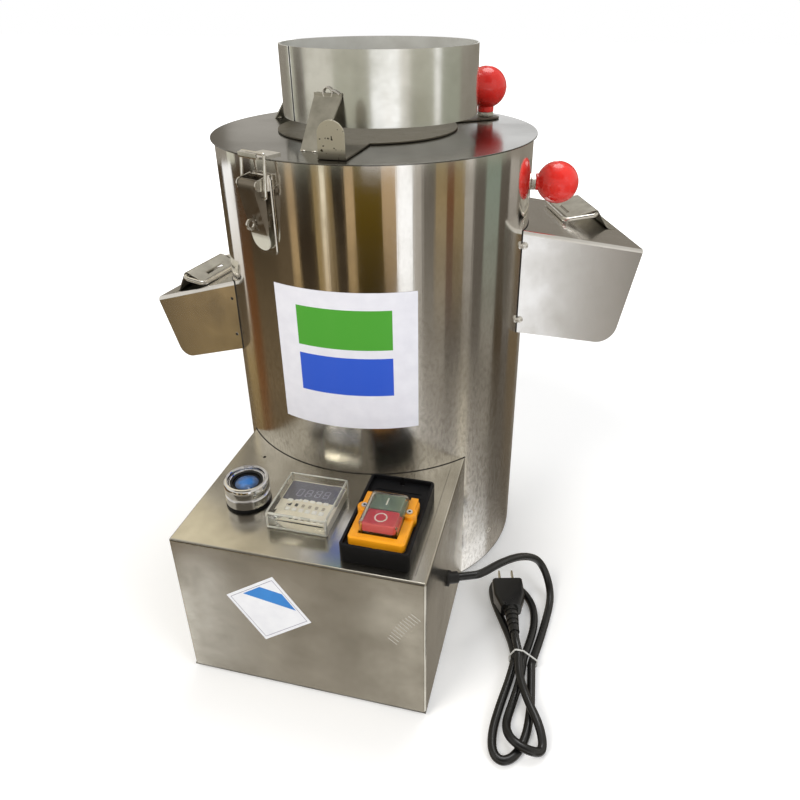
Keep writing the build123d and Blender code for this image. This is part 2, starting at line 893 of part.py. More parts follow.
def latch_eye():
    """Centre of the padlock ring, which stands out through the lever's slot."""
    top, foot = lever_ends()
    share = latch_eye_rise / (top - foot)
    front = lever_foot_out + (lever_front_out - lever_foot_out) * share
    return front + latch_eye_stand, foot + latch_eye_rise


def make_latch_base(azimuth):
    bottom = latch_plate_top - latch_plate_height
    half = latch_plate_width / 2
    base = block(0, latch_sheet, -half, half, bottom, latch_plate_top)
    base = fillet(base.edges().filter_by(Axis.X), latch_plate_corner)
    inner = lever_width / 2 + slack
    root = latch_sheet / 2
    ear = ((root, latch_pivot_z - latch_ear_root), (latch_pivot_out, latch_pivot_z - latch_ear_radius),
           (latch_pivot_out, latch_pivot_z + latch_ear_radius), (root, latch_pivot_z + latch_ear_root))
    for side in (-1, 1):
        middle = side * (inner + latch_ear_sheet / 2)
        base += side_plate(ear, middle - latch_ear_sheet / 2, middle + latch_ear_sheet / 2)
        base += Pos(0, middle, 0) * cross_bar(latch_pivot_out, latch_pivot_z, latch_ear_radius, latch_ear_sheet)
    base += cross_bar(latch_pivot_out, latch_pivot_z, latch_pin_radius, 2 * (inner + latch_ear_sheet))
    eye_out, eye_z = latch_eye()
    staple = block(root, eye_out, -root, root, eye_z - latch_eye_wall, eye_z + latch_eye_wall)
    staple += cross_bar(eye_out, eye_z, latch_eye_radius, latch_sheet)
    staple -= cross_bar(eye_out, eye_z, latch_eye_radius - latch_eye_wall, 2 * latch_sheet)
    return latch_frame(azimuth) * (base + staple)


def make_latch_lever(azimuth):
    half = lever_width / 2
    top, low = lever_ends()
    pin_out, pin_z = latch_pin()
    back = pin_out - lever_pin_margin
    crown = latch_pivot_z + lever_knuckle
    cheek = ((latch_pivot_out, crown), (latch_pivot_out + lever_knuckle, latch_pivot_z), (lever_front_out, top),
             (lever_foot_out, low), (lever_foot_out - lever_foot_depth, low), (back, pin_z - lever_pin_margin),
             (back, pin_z + lever_pin_margin), (latch_pivot_out - lever_knuckle, latch_pivot_z))
    lever = side_plate(cheek, -half, half)
    front, foot = lever_front_out - latch_sheet, lever_foot_out - latch_sheet
    hollow = ((0, crown + past), (front, crown + past), (front, top), (foot, low), (foot, low - past),
              (0, low - past))
    lever -= side_plate(hollow, latch_sheet - half, half - latch_sheet)
    lever += cross_bar(latch_pivot_out, latch_pivot_z, lever_knuckle, lever_width)
    # Finger tab in line with the front, with a round end
    down = Vector(lever_foot_out - lever_front_out, 0, low - top).normalized()
    straight = lever_tab - half
    tab = Pos(straight / 2, 0) * Rectangle(straight, lever_width) + Pos(straight, 0) * Circle(half)
    face = Plane((lever_foot_out, 0, low), x_dir=down, z_dir=(-down.Z, 0, down.X))
    lever += face.location * Pos(0, 0, -latch_sheet) * extrude(tab, latch_sheet)
    eye_out, eye_z = latch_eye()
    room = latch_eye_radius + latch_eye_room
    lever -= block(0, eye_out, -latch_sheet, latch_sheet, eye_z - room, eye_z + room)
    lever -= cross_bar(latch_pivot_out, latch_pivot_z, latch_pin_radius + fit, 2 * lever_width)
    lever -= cross_bar(pin_out, pin_z, latch_wire_radius + fit, 2 * lever_width)
    return latch_frame(azimuth) * lever


def make_latch_bail(azimuth):
    pin_out, pin_z = latch_pin()
    half = latch_wire_span / 2
    bar_out = catch_outer - catch_bar_gap
    bar_z = lid_top + latch_sheet + latch_wire_radius + catch_bar_lift
    inner = lever_width / 2 - latch_sheet - slack
    points = [(pin_out, -inner, pin_z), (pin_out, -half, pin_z), (bar_out, -half, bar_z), (bar_out, half, bar_z),
              (pin_out, half, pin_z), (pin_out, inner, pin_z)]
    return latch_frame(azimuth) * rod(points, latch_wire_radius, latch_wire_bend)


# Push button


def button_frame():
    return Pos(button_x, button_y, box_top)


def make_button_bezel():
    bore = lens_radius + slack
    top, rim = button_height, button_radius
    step = top - bezel_step
    ring = turned_profile(((bore, button_collar), (rim, button_collar), (rim, bezel_waist - bezel_groove),
                           (rim - bezel_groove, bezel_waist), (rim, bezel_waist + bezel_groove),
                           (rim, top - bezel_edge), (rim - bezel_edge, top), (rim - bezel_lip, top),
                           (rim - bezel_lip - bezel_slope, step), (bore, step)))
    return button_frame() * ring


def make_button_body():
    floor = button_height - lens_recess - lens_travel - lens_height
    body = disc(button_collar_radius, 0, button_collar) + disc(lens_radius, button_collar, floor)
    body += disc(button_neck_radius, -button_neck, 0)
    body += Pos(0, 0, -button_neck) * Box(button_block, button_block, button_block, align=TOP)
    body += hexagon(button_nut_across, -sheet - button_nut, -sheet)
    return button_frame() * body


def make_button_lens():
    top = button_height - lens_recess
    low = top - lens_height + slack
    return button_frame() * turned_profile(((0, low), (lens_radius, low), (lens_radius, top - lens_edge),
                                            (lens_crown_radius, top - lens_crown), (0, top)))


# Timer and its cover


def timer_frame():
    return Pos(timer_x, timer_y, box_top)


def cover_size():
    grow = 2 * (cover_gap + cover_wall)
    return timer_width + grow, timer_depth + grow


def hinge_line():
    """Depth and height of the cover's hinge pin, in the timer's frame."""
    return timer_depth / 2 + slack + hinge_barrel, hinge_barrel + slack


def key_places():
    first = -key_pitch * (key_count - 1) / 2
    return [Pos(first + i * key_pitch, key_y, 0) for i in range(key_count)]


def make_timer_case():
    case = Box(timer_width, timer_depth, timer_height, align=BOTTOM)
    case = fillet(case.edges().filter_by(Axis.Z), timer_corner)
    case += Box(timer_body, timer_body, timer_body_depth, align=TOP)
    case -= Pos(0, window_y, timer_height) * Box(window_width + 2 * fit, window_depth + 2 * fit, 2 * window_sink)
    well = key_height + key_travel + key_root
    for place in key_places():
        case -= place * Pos(0, 0, timer_height) * Box(key_size + 2 * slack, key_size + 2 * slack, 2 * well)
    pin_y, pin_z = hinge_line()
    for side in (-1, 1):
        lug_x = side * (hinge_half_span + slack + hinge_lug / 2)
        case += block(lug_x - hinge_lug / 2, lug_x + hinge_lug / 2, timer_depth / 2 - past,
                      pin_y + hinge_pin_radius, slack, pin_z + hinge_barrel - slack)
    case += Pos(0, pin_y, pin_z) * Rot(0, 90, 0) * Cylinder(hinge_pin_radius, 2 * hinge_half_span + hinge_lug)
    return timer_frame() * case


def make_timer_face():
    pane = Box(window_width, window_depth, window_sink + window_proud, align=BOTTOM)
    return timer_frame() * Pos(0, window_y, timer_height - window_sink) * pane


def make_timer_key(index):
    low = timer_height - key_root - key_height + slack
    cap = Box(key_size, key_size, key_height + key_root, align=BOTTOM)
    cap = fillet(cap.edges().group_by(Axis.Z)[-1], key_edge)
    return timer_frame() * key_places()[index] * Pos(0, 0, low) * cap


def make_timer_cover():
    width, depth = cover_size()
    cover = Pos(0, 0, cover_gap) * Box(width, depth, cover_height - cover_gap, align=BOTTOM)
    cover = fillet(cover.edges().filter_by(Axis.Z), cover_corner)
    cover = fillet(cover.faces().sort_by(Axis.Z)[-1].edges(), cover_edge)
    cover -= Box(width - 2 * cover_wall, depth - 2 * cover_wall, cover_height - cover_wall, align=BOTTOM)
    pin_y, pin_z = hinge_line()
    clear = width / 2 - cover_wall
    rear = depth / 2 - cover_wall
    cover -= block(-clear, clear, rear - slack, depth, -past, pin_z + hinge_barrel + slack)
    knuckle = Pos(0, pin_y, pin_z) * Rot(0, 90, 0) * Cylinder(hinge_barrel, 2 * hinge_half_span)
    web = block(-hinge_half_span, hinge_half_span, rear, pin_y, pin_z, pin_z + hinge_barrel + 2 * slack)
    bore = Cylinder(hinge_pin_radius + fit, 2 * hinge_half_span + 2 * past)
    bore = Pos(0, pin_y, pin_z) * Rot(0, 90, 0) * bore
    return timer_frame() * (cover + knuckle + web - bore)


# Switch


def switch_frame():
    return Pos(switch_x, switch_y, box_top)


def rockers():
    """Centre and depth of the start and stop buttons, in the switch's frame."""
    room = boot_depth - 2 * boot_wall - 3 * button_gap
    each = room / 2
    shift = (each + button_gap) / 2
    return (plate_y + shift, each), (plate_y - shift, each)


def pocket_floor():
    return switch_height - switch_pocket


def rocker_floor():
    return pocket_floor() + plate_height - rocker_sink


def screw_places():
    return [(side * switch_screw_x, plate_y + switch_screw_y) for side in (-1, 1)]


def make_switch_base():
    base = Box(switch_width, switch_depth, switch_height, align=BOTTOM)
    base = fillet(base.edges().filter_by(Axis.Z), switch_corner)
    base = fillet(base.faces().sort_by(Axis.Z)[-1].edges(), switch_edge)
    floor = pocket_floor()
    pocket = Pos(0, 0, floor) * Box(switch_width - 2 * switch_rim, switch_depth - 2 * switch_rim,
                                    2 * switch_pocket, align=BOTTOM)
    base -= fillet(pocket.edges().filter_by(Axis.Z), switch_corner - switch_rim)
    base += Box(switch_body_width, switch_body_depth, switch_body_drop, align=TOP)
    inner = (boot_width - 2 * boot_wall - 2 * button_gap, boot_depth - 2 * boot_wall - 2 * button_gap)
    base += Pos(0, plate_y, floor) * Box(inner[0], inner[1], rocker_floor() - floor, align=BOTTOM)
    for centre, _ in rockers():
        well = rocker_floor() - rocker_stem_length - slack
        base -= Pos(0, centre, 0) * disc(rocker_stem + fit, well - rocker_travel, switch_height * 2)
    for side in (-1, 1):
        base -= Pos(0, side * base_screw_y, 0) * disc(switch_screw_radius + fit, base_screw_floor, switch_height)
    return switch_frame() * base


def make_switch_plate():
    floor = pocket_floor()
    outline = fillet(Rectangle(plate_width, plate_depth).vertices(), plate_corner)
    plate = Pos(0, plate_y, floor) * extrude(outline, plate_height)
    plate = chamfer(plate.faces().sort_by(Axis.Z)[-1].edges(), plate_edge)
    # Raised shoulders that hold the screws, from the rear edge to the screws
    top = floor + plate_height + boss_rise
    for x, y in screw_places():
        side = math.copysign(1, x)
        edge = side * (plate_width / 2 - plate_edge)
        rear = plate_y + plate_depth / 2 - plate_edge
        plate += block(min(0, edge), max(0, edge), y, rear, floor, top)
        plate += Pos(x, y, 0) * disc(boss_radius, floor, top)
    opening = Rectangle(boot_width + 2 * fit, boot_depth + 2 * fit)
    plate -= Pos(0, plate_y, floor - past) * extrude(opening, plate_height + boss_rise + 2 * past)
    plate -= block(-boot_width / 2, boot_width / 2, plate_y, plate_y + plate_depth, floor + plate_height,
                   top + past)
    for x, y in screw_places():
        plate -= Pos(x, y, 0) * disc(switch_screw_core + fit, top - switch_screw_length - slack, top + past)
    return switch_frame() * plate


def make_switch_screws():
    top = pocket_floor() + plate_height + boss_rise
    head = disc(switch_screw_radius, top, top + switch_screw_head)
    head += disc(switch_screw_core, top - switch_screw_length, top)
    screws = [switch_frame() * Pos(x, y, 0) * head for x, y in screw_places()]
    low = base_screw_floor + slack
    deep = disc(switch_screw_radius, low, low + base_screw_head)
    return screws + [switch_frame() * Pos(0, side * base_screw_y, 0) * deep for side in (-1, 1)]


def make_switch_boot():
    floor = pocket_floor()
    height = plate_height + boot_rise
    boot = Pos(0, plate_y, floor) * Box(boot_width, boot_depth, height, align=BOTTOM)
    boot = fillet(boot.edges().filter_by(Axis.Z), boot_corner)
    boot = fillet(boot.faces().sort_by(Axis.Z)[-1].edges(), boot_edge)
    hollow = Pos(0, plate_y, floor) * Box(boot_width - 2 * boot_wall, boot_depth - 2 * boot_wall,
                                          height - boot_wall, align=BOTTOM)
    return switch_frame() * (boot - fillet(hollow.edges().filter_by(Axis.Z), boot_corner - boot_wall))


def make_rocker(index):
    centre, each = rockers()[index]
    low = rocker_floor() + rocker_travel + slack
    width = boot_width - 2 * boot_wall - 2 * button_gap
    top = pocket_floor() + plate_height + boot_rise - boot_wall - slack
    cap = Pos(0, centre, low) * Box(width, each, top - low, align=BOTTOM)
    cap = fillet(cap.edges().filter_by(Axis.Z), rocker_corner)
    cap = fillet(cap.faces().sort_by(Axis.Z)[-1].edges(), rocker_edge)
    cap += Pos(0, centre, 0) * disc(rocker_stem, rocker_floor() - rocker_stem_length, low + past)
    return switch_frame() * cap


# Mains cord, hank and plug


def outlet_heading():
    angle = math.radians(outlet_angle)
    return Vector(math.cos(angle), math.sin(angle), 0)


def outlet_point():
    return Vector(box_width / 2, outlet_y, outlet_z) + outlet_heading() * (grommet_flange + grommet_nose)


def make_cord_grommet():
    wall = Pos(box_width / 2, outlet_y, outlet_z) * Rot(0, 90, 0)
    body = disc(grommet_radius, 0, grommet_flange) + disc(grommet_nose_radius, -sheet, 0)
    body += disc(grommet_radius, -sheet - grommet_flange, -sheet)
    nose = Plane((box_width / 2, outlet_y, outlet_z), z_dir=outlet_heading()).location
    spout = disc(grommet_nose_radius, 0, grommet_flange + grommet_nose)
    spout = nose * chamfer(spout.edges().sort_by(Axis.Z)[-1], grommet_edge)
    around = 2 * grommet_radius
    spout -= block(0, box_width / 2, outlet_y - around, outlet_y + around, outlet_z - around, outlet_z + around)
    return wall * body + spout


def corner_radii(points):
    """Bend at each corner, as large as its two runs allow."""
    radii = []
    for before, here, after in zip(points, points[1:], points[2:]):
        turn = math.radians((here - before).get_angle(after - here))
        shorter = min((here - before).length, (after - here).length)
        radii.append(bend_share * shorter / math.tan(turn / 2))
    return radii


def make_cord_run():
    outlet = outlet_point()
    points = [outlet, outlet + outlet_heading() * outlet_run] + [Vector(*p) for p in cord_route]
    radii = corner_radii(points)
    print("cord bends", [round(r, 1) for r in radii])
    path = FilletPolyline(*points, radius=radii)
    run = sweep(Plane(path @ 0, z_dir=path % 0) * Circle(cord_radius), path=path)
    print("cord run", round(path.length, 1), round(run.volume / (math.pi * cord_radius ** 2), 1))
    return run


def smooth(t):
    t = min(max(t, 0.0), 1.0)
    return t * t * (3 - 2 * t)


def fullest(pinch):
    """Greatest value of the swelling term, at the widest place of a loop."""
    s = (pinch + 1) / (pinch + 2)
    return 2 * s ** ((pinch + 1) / 2) * math.sqrt(1 - s)


def loop_point(phi, loop, lane_in, lane_out, rise):
    """A teardrop loop leaving the waist and coming back to it as phi goes once round."""
    along = loop["length"] * (1 - math.cos(phi)) / 2
    swell = math.sin(phi) * math.sin(phi / 2) ** loop["pinch"] / fullest(loop["pinch"])
    across = loop["side"] * loop["half_width"] * swell + loop["lean"] * (along / loop["length"]) ** 2
    across += lane_in + (lane_out - lane_in) * smooth(phi / (2 * math.pi))
    lift = waist_lift * ((1 + math.cos(phi)) / 2) ** 4
    return Vector(waist_x + across, waist_y + loop["toward"] * along, cord_radius + lift + rise(phi))


def loop_knots(loop, lane_in, lane_out, rise, leave, count=8):
    """Points and headings round one loop, up to the waist, which it leaves along a heading."""
    knots = []
    step = 0.02
    for i in range(1, count):
        phi = 2 * math.pi * i / count
        ahead = loop_point(phi + step, loop, lane_in, lane_out, rise)
        behind = loop_point(phi - step, loop, lane_in, lane_out, rise)
        knots.append((loop_point(phi, loop, lane_in, lane_out, rise), (ahead - behind).normalized()))
    knots.append((loop_point(2 * math.pi, loop, lane_in, lane_out, rise), leave.normalized()))
    return knots


def low_rise(phi):
    return 0.0


def crossing_rise(phi):
    """Over the other lower loop near the foot, then up onto the waist."""
    hump = hank_layer * math.exp(-((phi - crossing_turn * math.pi) / crossing_spread) ** 2)
    climb = hank_layer * smooth((phi - climb_turn * math.pi) / (climb_spread * math.pi))
    return max(hump, climb)


def plug_axis():
    angle = math.radians(plug_heading)
    return Vector(math.cos(angle), math.sin(angle), 0)


def hank_knots():
    start = Vector(*cord_route[-1])
    heading = (start - Vector(*cord_route[-2])).normalized()
    entry = Vector(waist_x + lane, waist_y, cord_radius + waist_lift)
    finish = Vector(plug_x, plug_y, plug_z)
    relief = finish - plug_axis() * 2 * cord_radius
    down, up = Vector(0, -1, 0), Vector(0, 1, 0)
    knots = [(start, heading), (start + heading * 2 * cord_radius, heading), (entry, down)]
    knots += loop_knots(lower_left_loop, lane, -lane, low_rise, up)
    knots += loop_knots(upper_loop, -lane, 0, low_rise, down)
    top = loop_point(2 * math.pi, lower_right_loop, 0, last_lane, crossing_rise)
    knots += loop_knots(lower_right_loop, 0, last_lane, crossing_rise, relief - top)
    return knots + [(relief, plug_axis()), (finish, plug_axis())]


def arc_or_line(start, heading, end):
    chord = end - start
    along = heading.normalized() + chord.normalized()
    angle = math.radians(heading.get_angle(chord))
    if angle < 0.002:
        return Line(start, end)
    middle = start + along.normalized() * (chord.length / 2 / math.cos(angle / 2))
    return ThreePointArc(start, middle, end)


def biarc(first, second):
    """Two arcs that leave the first knot and reach the second along their headings."""
    (p, u), (q, v) = first, second
    gap = q - p
    both = u + v
    spread = 2 * (1 - u.dot(v))
    reach = gap.dot(both)
    if spread < 1e-6:
        arm = gap.length ** 2 / (2 * reach)
    else:
        arm = (math.sqrt(reach ** 2 + spread * gap.length ** 2) - reach) / spread
    middle = (p + u * arm + q - v * arm) * 0.5
    turn = (middle - (p + u * arm)).normalized()
    if gap.get_angle(u) < 0.1 and gap.get_angle(v) < 0.1:
        return [Line(p, q)]
    return [arc_or_line(p, u, middle), arc_or_line(middle, turn, q)]


def least_gap(path, samples=360):
    """Least distance between two parts of the tube that aren't neighbours along it."""
    points = [path @ (i / samples) for i in range(samples + 1)]
    skip = int(math.ceil(4 * cord_radius * 2 / (path.length / samples)))
    least = min((points[i] - points[j]).length
                for i in range(len(points)) for j in range(i + skip, len(points)))
    return least - 2 * cord_radius


def make_cord_hank():
    knots = hank_knots()
    edges = []
    for first, second in zip(knots, knots[1:]):
        edges += biarc(first, second)
    path = Wire(edges)
    print("hank length", round(path.length, 1), "least gap", round(least_gap(path), 2))
    hank = sweep(Plane(path @ 0, z_dir=path % 0) * Circle(cord_radius), path=path)
    print("hank volume over section", round(hank.volume / (math.pi * cord_radius ** 2), 1))
    return hank


def make_cord_tie():
    half = lane + cord_radius + tie_radius + slack
    low = tie_radius + tie_floor_gap
    top = cord_radius + waist_lift + hank_layer + cord_radius + tie_radius + slack
    shoulder = 2 * cord_radius + waist_lift
    points = [(half, shoulder), (half, low), (-half, low), (-half, shoulder), (last_lane - cord_radius, top),
              (last_lane + cord_radius, top)]
    points = [Vector(waist_x + x, waist_y, z) for x, z in points]
    path = FilletPolyline(*points, radius=tie_bend, close=True)
    loop = sweep(Plane(path @ 0, z_dir=path % 0) * Circle(tie_radius), path=path)
    return loop


def plug_frame():
    return Plane((plug_x, plug_y, plug_z), x_dir=(0, 0, 1), z_dir=plug_axis()).location


def make_plug_body():
    wide_radius = plug_thickness / 2 - plug_taper
    relief = turned_profile([(0, 0), (plug_relief_radius, 0), (plug_relief_radius, plug_relief_collar),
                             (wide_radius, plug_relief_length), (0, plug_relief_length)])
    swell = (wide_radius - plug_relief_radius) / plug_relief_length
    for i in range(plug_groove_count):
        z = plug_groove_start + plug_groove_pitch * i
        radius = plug_relief_radius + swell * (z - plug_relief_collar)
        relief -= tube(plug_thickness, radius - plug_groove_depth, z, z + plug_groove_width)
    start, end = plug_relief_length - plug_overlap, plug_relief_length + plug_body_length
    wide = RectangleRounded(plug_thickness, plug_width, plug_corner)
    narrow = RectangleRounded(plug_thickness - 2 * plug_taper, plug_neck_width, plug_corner)
    shoulder = start + plug_shoulder
    body = loft([Pos(0, 0, start) * narrow, Pos(0, 0, shoulder) * wide])
    body += Pos(0, 0, shoulder) * extrude(wide, end - shoulder)
    return plug_frame() * (relief + body)


def make_plug_prongs():
    end = plug_relief_length + plug_body_length
    blade = Pos(0, 0, end) * Box(prong_width, prong_thickness, prong_length, align=BOTTOM)
    blade = chamfer(blade.edges().filter_by(Axis.Y).group_by(Axis.Z)[-1], prong_point)
    return [plug_frame() * Pos(0, side * prong_spacing / 2, 0) * blade for side in (-1, 1)]


nodes = {
    "base_plate": make_base_plate(),
    "rubber_feet": make_rubber_feet(),
    "control_box": make_control_box(),
    "drum_shell": make_drum_shell(),
    "lid_plate": make_lid_plate(),
    "hopper_ring": make_hopper_ring(),
    "hopper_legs": make_hopper_legs(),
    "feed_gate": make_feed_gate(),
    "lid_knob": make_lid_knob(),
    "lid_knob_stud": make_lid_knob_stud(),
    "lid_catches": make_lid_catches(),
    "right_hood": make_hood(right_hood),
    "left_hood": make_left_hood(),
    "hood_rivets": make_hood_rivets(),
    "right_handle_clip": make_handle_clip(right_hood, right_handle),
    "left_handle_clip": make_handle_clip(left_hood, left_handle),
    "right_handle_bail": make_handle_bail(right_hood, right_handle),
    "left_handle_bail": make_handle_bail(left_hood, left_handle),
    "discharge_door": make_discharge_door(),
    "door_stud": make_door_stud(),
    "door_knob": make_door_knob(),
    "door_guides": make_door_guides(),
    "chamber_deck": make_chamber_deck(),
    "wall_liner": make_wall_liner(),
    "motor_housing": make_motor_housing(),
    "motor_bolts": make_motor_bolts(),
    "motor_shaft": make_motor_shaft(),
    "shaft_seal": make_shaft_seal(),
    "peeling_disc": make_peeling_disc(),
    "disc_nut": make_disc_nut(),
    "button_bezel": make_button_bezel(),
    "button_body": make_button_body(),
    "button_lens": make_button_lens(),
    "timer_case": make_timer_case(),
    "timer_face": make_timer_face(),
    "timer_cover": make_timer_cover(),
    "switch_base": make_switch_base(),
    "switch_plate": make_switch_plate(),
    "switch_screws": make_switch_screws(),
    "switch_boot": make_switch_boot(),
    "start_button": make_rocker(0),
    "stop_button": make_rocker(1),
    "cord_grommet": make_cord_grommet(),
    "cord_run": make_cord_run(),
    "cord_hank": make_cord_hank(),
    "cord_tie": make_cord_tie(),
    "plug_body": make_plug_body(),
    "plug_prongs": make_plug_prongs(),
}
for name, azimuth in zip(("front", "rear"), latch_azimuths):
    nodes[name + "_latch_base"] = make_latch_base(azimuth)
    nodes[name + "_latch_lever"] = make_latch_lever(azimuth)
    nodes[name + "_latch_bail"] = make_latch_bail(azimuth)
for i in range(key_count):
    nodes["timer_key_" + str(i + 1)] = make_timer_key(i)

for name, shape in nodes.items():
    if isinstance(shape, list):
        shape = Compound(children=shape)
    export_step(shape, "parts/" + name + ".step")
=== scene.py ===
import bmesh
import bpy
import json
import math
from mathutils import Matrix, Vector

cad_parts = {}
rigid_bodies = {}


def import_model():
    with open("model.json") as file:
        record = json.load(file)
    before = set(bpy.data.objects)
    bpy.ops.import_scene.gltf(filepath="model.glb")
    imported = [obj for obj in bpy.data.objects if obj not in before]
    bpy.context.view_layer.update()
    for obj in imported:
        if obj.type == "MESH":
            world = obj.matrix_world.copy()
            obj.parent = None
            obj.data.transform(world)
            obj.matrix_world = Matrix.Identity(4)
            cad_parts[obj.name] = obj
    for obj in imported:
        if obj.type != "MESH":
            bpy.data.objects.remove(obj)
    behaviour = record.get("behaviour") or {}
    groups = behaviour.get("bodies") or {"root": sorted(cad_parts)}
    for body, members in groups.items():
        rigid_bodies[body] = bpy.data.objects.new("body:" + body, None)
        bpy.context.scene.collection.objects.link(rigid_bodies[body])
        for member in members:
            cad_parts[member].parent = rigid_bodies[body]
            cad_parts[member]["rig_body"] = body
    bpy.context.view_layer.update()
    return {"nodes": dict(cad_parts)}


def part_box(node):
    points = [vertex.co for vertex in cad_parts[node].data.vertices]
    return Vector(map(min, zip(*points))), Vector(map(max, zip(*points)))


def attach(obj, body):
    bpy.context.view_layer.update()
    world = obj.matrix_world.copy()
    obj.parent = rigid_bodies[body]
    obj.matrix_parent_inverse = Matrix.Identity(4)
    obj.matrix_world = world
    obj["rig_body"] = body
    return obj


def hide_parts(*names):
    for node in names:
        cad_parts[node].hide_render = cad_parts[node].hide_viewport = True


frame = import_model()
scene = bpy.context.scene
scene.view_settings.view_transform = "Standard"


def addObject(name, data):
    made = bpy.data.objects.new(name, data)
    scene.collection.objects.link(made)
    return made


# Camera at the photograph's place: metres, degrees, pixels of an 800 pixel picture, sensor in millimetres
photoCamera = {
    "place": (0.18702, -0.61045, 0.53527),
    "target": (0.025384, 0.064258, 0.171295),
    "roll": -0.129,
    "focal": 690.409,
    "centre": (420.765, 351.305),
    "picture": 800,
    "sensor": 36,
}


def makeCamera(spec):
    data = bpy.data.cameras.new("photoCamera")
    camera = addObject("photoCamera", data)
    ahead = (Vector(spec["target"]) - Vector(spec["place"])).normalized()
    side = ahead.cross(Vector((0, 0, 1))).normalized()
    above = side.cross(ahead)
    turn = math.radians(spec["roll"])
    right = side * math.cos(turn) + above * math.sin(turn)
    up = above * math.cos(turn) - side * math.sin(turn)
    facing = Matrix((right, up, -ahead)).transposed().to_4x4()
    camera.matrix_world = Matrix.Translation(spec["place"]) @ facing
    data.sensor_fit = "HORIZONTAL"
    data.sensor_width = spec["sensor"]
    data.lens = spec["sensor"] * spec["focal"] / spec["picture"]
    data.shift_x = 0.5 - spec["centre"][0] / spec["picture"]
    data.shift_y = spec["centre"][1] / spec["picture"] - 0.5
    data.clip_start = 0.01
    scene.camera = camera


makeCamera(photoCamera)
print("camera set")


def hexColour(code):  # sRGB hex to the linear colour that sockets take
    parts = [int(code[i:i + 2], 16) / 255 for i in (1, 3, 5)]
    return (*[c / 12.92 if c <= 0.04045 else ((c + 0.055) / 1.055) ** 2.4 for c in parts], 1.0)


def firstOut(node):
    return next(socket for socket in node.outputs if socket.enabled)


# A node with its settings and links. Inputs are named or numbered, or a list in the order that the node
# shows them, and a node among them stands for its first output. The result may go into a socket of the
# shader, and stops are the places and colours of a ramp
def addNode(tree, kind, inputs=(), into=None, stops=(), **settings):
    node = tree.nodes.new(kind)
    for key, value in settings.items():
        setattr(node, key, value)
    if not isinstance(inputs, dict):
        shown = [i for i, socket in enumerate(node.inputs) if socket.enabled]
        inputs = dict(zip(shown, inputs))
    for key, value in inputs.items():
        if isinstance(value, bpy.types.Node):
            value = firstOut(value)
        if isinstance(value, bpy.types.NodeSocket):
            tree.links.new(value, node.inputs[key])
        else:
            node.inputs[key].default_value = value
    for i, (position, code) in enumerate(stops):
        node.color_ramp.elements[i].position = position
        node.color_ramp.elements[i].color = hexColour(code)
    if into:
        tree.links.new(firstOut(node), tree.nodes["Principled BSDF"].inputs[into])
    return node


def newMaterial(name, sockets=None):
    material = bpy.data.materials.new(name)
    material.use_nodes = True
    tree = material.node_tree
    for key, value in (sockets or {}).items():
        tree.nodes["Principled BSDF"].inputs[key].default_value = value
    place = addNode(tree, "ShaderNodeTexCoord").outputs["Object"]
    return material, tree, place


# Noise whose cells are a given size in millimetres, all ways or along X, Y and Z
def grainOf(tree, place, size, detail=2.0):
    sizes = size if isinstance(size, tuple) else (size, size, size)
    stretch = addNode(tree, "ShaderNodeMapping", {"Vector": place, "Scale": [1000 / s for s in sizes]})
    return addNode(tree, "ShaderNodeTexNoise", {"Vector": stretch, "Scale": 1.0, "Detail": detail})


# Distance from an upright axis, whose place is in millimetres
def fromAxis(tree, place, x, y):
    moved = {"Vector": place, "Location": (-x / 1000, -y / 1000, 0), "Scale": (1, 1, 0)}
    level = addNode(tree, "ShaderNodeMapping", moved)
    return addNode(tree, "ShaderNodeVectorMath", [level], operation="LENGTH")


# Sheet steel: rubbed lines of a size along X, Y and Z, and cloudy smears of a width, in millimetres
def steelSheet(name, light, dark, smooth, dull, lines, smear, scratch=0.06):
    material, tree, place = newMaterial(name, {"Metallic": 1.0})
    streak = grainOf(tree, place, lines)
    cloud = grainOf(tree, place, smear, 5.0)
    addNode(tree, "ShaderNodeValToRGB", [cloud], "Base Color", [(0.25, dark), (0.62, light)])
    base = addNode(tree, "ShaderNodeMapRange", [cloud, 0.3, 0.7, dull, smooth])
    fine = addNode(tree, "ShaderNodeMapRange", [streak, 0.2, 0.8, -scratch, scratch])
    addNode(tree, "ShaderNodeMath", [base, fine], "Roughness", operation="ADD", use_clamp=True)
    relief = {"Height": streak, "Strength": scratch, "Distance": 0.05 / 1000}
    addNode(tree, "ShaderNodeBump", relief, "Normal")
    return material


